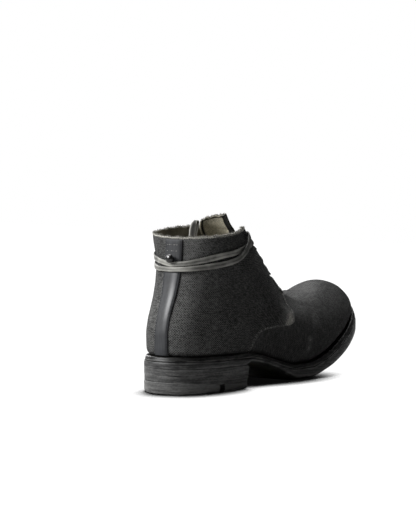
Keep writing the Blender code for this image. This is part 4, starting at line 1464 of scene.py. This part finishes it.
def stitch_row(bm, turns, heights, out, length, pitch):
    """Stitches at an even pitch along a line on the last."""
    line = on_last(turns, heights, out)
    normals = last_normal(turns, heights)
    run = run_along(line)
    for at in np.arange(pitch / 2, run[-1] - pitch / 3, pitch):
        middle = on_line(at, run, line)
        ahead = on_line(at + 0.5, run, line)
        normal = on_line(at, run, normals)
        x = Vector(ahead - middle).normalized()
        z = Vector(normal).normalized()
        y = z.cross(x).normalized()
        z = x.cross(y)
        turn = Matrix((x, y, z)).transposed().to_4x4()
        size = Matrix.Diagonal((length / 2 * MM, STITCH_RADIUS * MM, STITCH_RADIUS * MM, 1.0))
        centre = Matrix.Translation(in_frame([middle - STITCH_SUNK * normal])[0])
        bmesh.ops.create_uvsphere(bm, u_segments=6, v_segments=5, radius=1.0, matrix=centre @ turn @ size)


def thread_finish(name, dark, light):
    thread = Finish(name, 0.7, Specular_IOR_Level=0.15)
    twist = thread.place.grain((1.5, 1.5, 1.5), 2.0)
    thread.colour(twist.step(0.35, 0.65).blend(dark, light))
    thread.bump(thread.place.grain((0.4, 0.4, 0.4), 1.0), 0.1)
    return thread


strip_bm = bmesh.new()
stitch_up = np.linspace(0.01, 0.985, 90)
for side in (0.085, 0.915):
    spots = strip_spot(np.full(len(stitch_up), side), stitch_up)
    out = STRIP_BASE + STRIP_THICKNESS - 0.2 + strip_dent(*spots)
    stitch_row(strip_bm, *spots, out, length=2.4, pitch=3.1)
edge_bm = bmesh.new()
stitch_across = np.linspace(0.12, 0.88, 24)
for up in (0.905, 0.955):
    spots = strip_spot(stitch_across, np.full(len(stitch_across), up))
    stitch_row(edge_bm, *spots, STRIP_BASE + STRIP_THICKNESS + 0.05, length=2.0, pitch=2.6)
strip_thread = thread_finish("strip_thread", (0.006, 0.0065, 0.0075), (0.03, 0.032, 0.036))
strip_stitches = finish_mesh("strip_stitches", strip_bm, [strip_thread.material], 80)

# Two rows of stitches, set back from the edge. The second stops below the throat
SEAM_POINTS = 160
SEAM_ROWS = ((2.6, SEAM_POINTS), (5.0, 112))
seam_heights = np.interp(np.linspace(0.01, 0.93, SEAM_POINTS), row_shares, edge_heights)
for sign in (1, -1):
    for setback, kept in SEAM_ROWS:
        inward = math.radians(0.35) * setback * (1 + 0.6 * soft_step(seam_heights, 6.5, 7.5))
        turns = sign * (front_turn(seam_heights, sign) - inward)
        lift = QUARTER_STEP + creased(turns, seam_heights) + 0.08
        stitch_row(edge_bm, turns[:kept], seam_heights[:kept], lift[:kept], length=2.2, pitch=3.0)
edge_thread = thread_finish("edge_thread", (0.02, 0.02, 0.0195), (0.2, 0.198, 0.188))
edge_stitches = finish_mesh("edge_stitches", edge_bm, [edge_thread.material], 80)

# Frayed threads: loose ends of the canvas along the raw collar and the top of the tongue. They are pale,
# because the wax doesn't reach the cut ends.

FRAY_SEED = 7
FRAY_RADIUS = 0.2
FRAY_TIP = 0.35
fray_random = np.random.default_rng(FRAY_SEED)


def fray(bm, places, outs, count, lengths):
    """Short tapered threads along a line, most of them standing up and bending outwards."""
    run = run_along(places)
    for at in fray_random.uniform(0, run[-1], count):
        foot = on_line(at, run, places)
        out = on_line(at, run, outs)
        lean = np.array([0, 0, 1.0]) + fray_random.normal(0.25, 0.6) * out + fray_random.normal(0, 0.55, 3)
        length = fray_random.uniform(*lengths)
        foot = foot - out * fray_random.uniform(0.2, 2.2)
        turn = Vector((0, 0, 1)).rotation_difference(Vector(lean)).to_matrix().to_4x4()
        centre = Vector(in_frame([foot])[0]) + Vector(lean).normalized() * length * MM * 0.4
        bmesh.ops.create_cone(
            bm,
            cap_ends=True,
            segments=4,
            radius1=FRAY_RADIUS * MM,
            radius2=FRAY_TIP * FRAY_RADIUS * MM,
            depth=length * MM,
            matrix=Matrix.Translation(centre) @ turn,
        )


FrayRow = namedtuple("FrayRow", "place spot points count lengths")
FRAYED_EDGES = (
    FrayRow(quarter_place, quarter_spot, 400, 1700, (0.4, 2.0)),
    FrayRow(tongue_place, tongue_spot, 120, 150, (0.4, 1.7)),
)
fray_bm = bmesh.new()
for row in FRAYED_EDGES:
    across = np.linspace(0.0, 1.0, row.points)
    top = np.ones(row.points)
    fray(fray_bm, row.place(across, top), last_normal(*row.spot(across, top)), row.count, row.lengths)
fray_thread = thread_finish("frayed_thread", (0.025, 0.0245, 0.0225), RAW_LIGHT)
frayed = finish_mesh("frayed_threads", fray_bm, [fray_thread.material], 80)

# Studio: a white floor that glows for the camera, with a soft shadow round the boot painted from ambient
# occlusion, a broad light from behind the heel, a top light, a weak light on the inner side and a little
# light from the white room.

FLOOR_HALF = 1.5
FLOOR_DROP = 0.0002
FLOOR_SEEN = (1.1, 1.1, 1.1)
FLOOR_SHADOW_COLOUR = (0.003, 0.003, 0.003)
FLOOR_BOUNCE = (0.4, 0.4, 0.4)
BLACK = (0.0, 0.0, 0.0)
CONTACT_REACH = 0.04
FLOOR_LIGHT_FROM = (-0.38, 0.68, 0.6)
floor_bm = bmesh.new()
bmesh.ops.create_grid(floor_bm, x_segments=1, y_segments=1, size=FLOOR_HALF)
floor_mesh = bpy.data.meshes.new("floor")
floor_bm.to_mesh(floor_mesh)
floor_bm.free()
floor = bpy.data.objects.new("floor", floor_mesh)
bpy.context.collection.objects.link(floor)
floor.location.z = -FLOOR_DROP
floor_paint = Finish("white_floor", 0.9, Specular_IOR_Level=0.0, Emission_Strength=1.0)
floor_rays = floor_paint.tree.nodes.new("ShaderNodeLightPath")
lit_axes = dict(zip("XYZ", FLOOR_LIGHT_FROM))
lit_from = floor_paint.place.node("ShaderNodeCombineXYZ", "Vector", **lit_axes)
# The painted shadow: ambient occlusion, leaning towards FLOOR_LIGHT_FROM, darkens the floor's glow near the
# boot.
floor_open = lit_from.node("ShaderNodeAmbientOcclusion", "AO", Distance=CONTACT_REACH, Normal=lit_from)
floor_painted_shadow = floor_open.step(0.48, 0.8).blend(FLOOR_SHADOW_COLOUR, FLOOR_SEEN)
to_camera = Wire(floor_paint.tree, floor_rays.outputs["Is Camera Ray"])
floor_paint.colour(to_camera.blend(FLOOR_BOUNCE, BLACK))
to_camera.feed(floor_paint.shader.inputs["Emission Color"], to_camera.blend(BLACK, floor_painted_shadow))
floor_mesh.materials.append(floor_paint.material)

ROOM_LIGHT = 0.062
BACKDROP_LIGHT = 1.0
LightRow = namedtuple("LightRow", "name place aim size power")
LIGHTS = (
    LightRow("heel_light", (-1.45, -1.85, 1.45), (0.0, -0.05, 0.08), 1.5, 160.0),
    LightRow("top_light", (-0.75, 0.5, 2.4), (0.0, 0.1, 0.05), 1.8, 90.0),
    LightRow("inner_light", (-2.0, 0.9, 0.9), (0.0, 0.0, 0.0), 1.0, 35.0),
)
for row in LIGHTS:
    lamp = bpy.data.lights.new(row.name, "AREA")
    lamp.shape = "DISK"
    lamp.size = row.size
    lamp.energy = row.power
    light = bpy.data.objects.new(row.name, lamp)
    light.location = row.place
    light.rotation_euler = (Vector(row.aim) - Vector(row.place)).to_track_quat("-Z", "Y").to_euler()
    bpy.context.collection.objects.link(light)

world = bpy.data.worlds.new("studio")
world.use_nodes = True
backdrop = world.node_tree.nodes["Background"]
backdrop.inputs["Color"].default_value = (1.0, 1.0, 1.0, 1.0)
seen = Wire(world.node_tree, world.node_tree.nodes.new("ShaderNodeLightPath").outputs["Is Camera Ray"])
seen.feed(backdrop.inputs["Strength"], ROOM_LIGHT + (BACKDROP_LIGHT - ROOM_LIGHT) * seen)
bpy.context.scene.world = world
bpy.context.scene.view_settings.view_transform = "Standard"

# Camera: from behind on the outer side, a little above the boot, with a long lens. It is aimed so that the
# back of the heel stands where it does in the photo.

CAMERA_AZIMUTH = math.radians(36.0)
CAMERA_ELEVATION = math.radians(7.0)
CAMERA_DISTANCE = 3.0
FOCAL_PIXELS = 3300.0
PHOTO_SIZE = (416, 520)
HEEL_PIXEL = (159.0, 394.3)
heel_back = Vector(in_frame([[0.0, 0.0, 0.0]])[0])
away = Vector(
    (
        math.sin(CAMERA_AZIMUTH) * math.cos(CAMERA_ELEVATION),
        -math.cos(CAMERA_AZIMUTH) * math.cos(CAMERA_ELEVATION),
        math.sin(CAMERA_ELEVATION),
    )
)
right = Vector((math.cos(CAMERA_AZIMUTH), math.sin(CAMERA_AZIMUTH), 0.0))
upward = away.cross(right)
shift_right = (PHOTO_SIZE[0] / 2 - HEEL_PIXEL[0]) / FOCAL_PIXELS
shift_up = (HEEL_PIXEL[1] - PHOTO_SIZE[1] / 2) / FOCAL_PIXELS
lens = bpy.data.cameras.new("photo_camera")
lens.sensor_width = 36.0
lens.lens = FOCAL_PIXELS / max(PHOTO_SIZE) * lens.sensor_width
camera = bpy.data.objects.new("photo_camera", lens)
camera.location = heel_back + CAMERA_DISTANCE * away
view_line = -away + shift_right * right + shift_up * upward
camera.rotation_euler = view_line.to_track_quat("-Z", "Y").to_euler()
bpy.context.collection.objects.link(camera)
bpy.context.scene.camera = camera
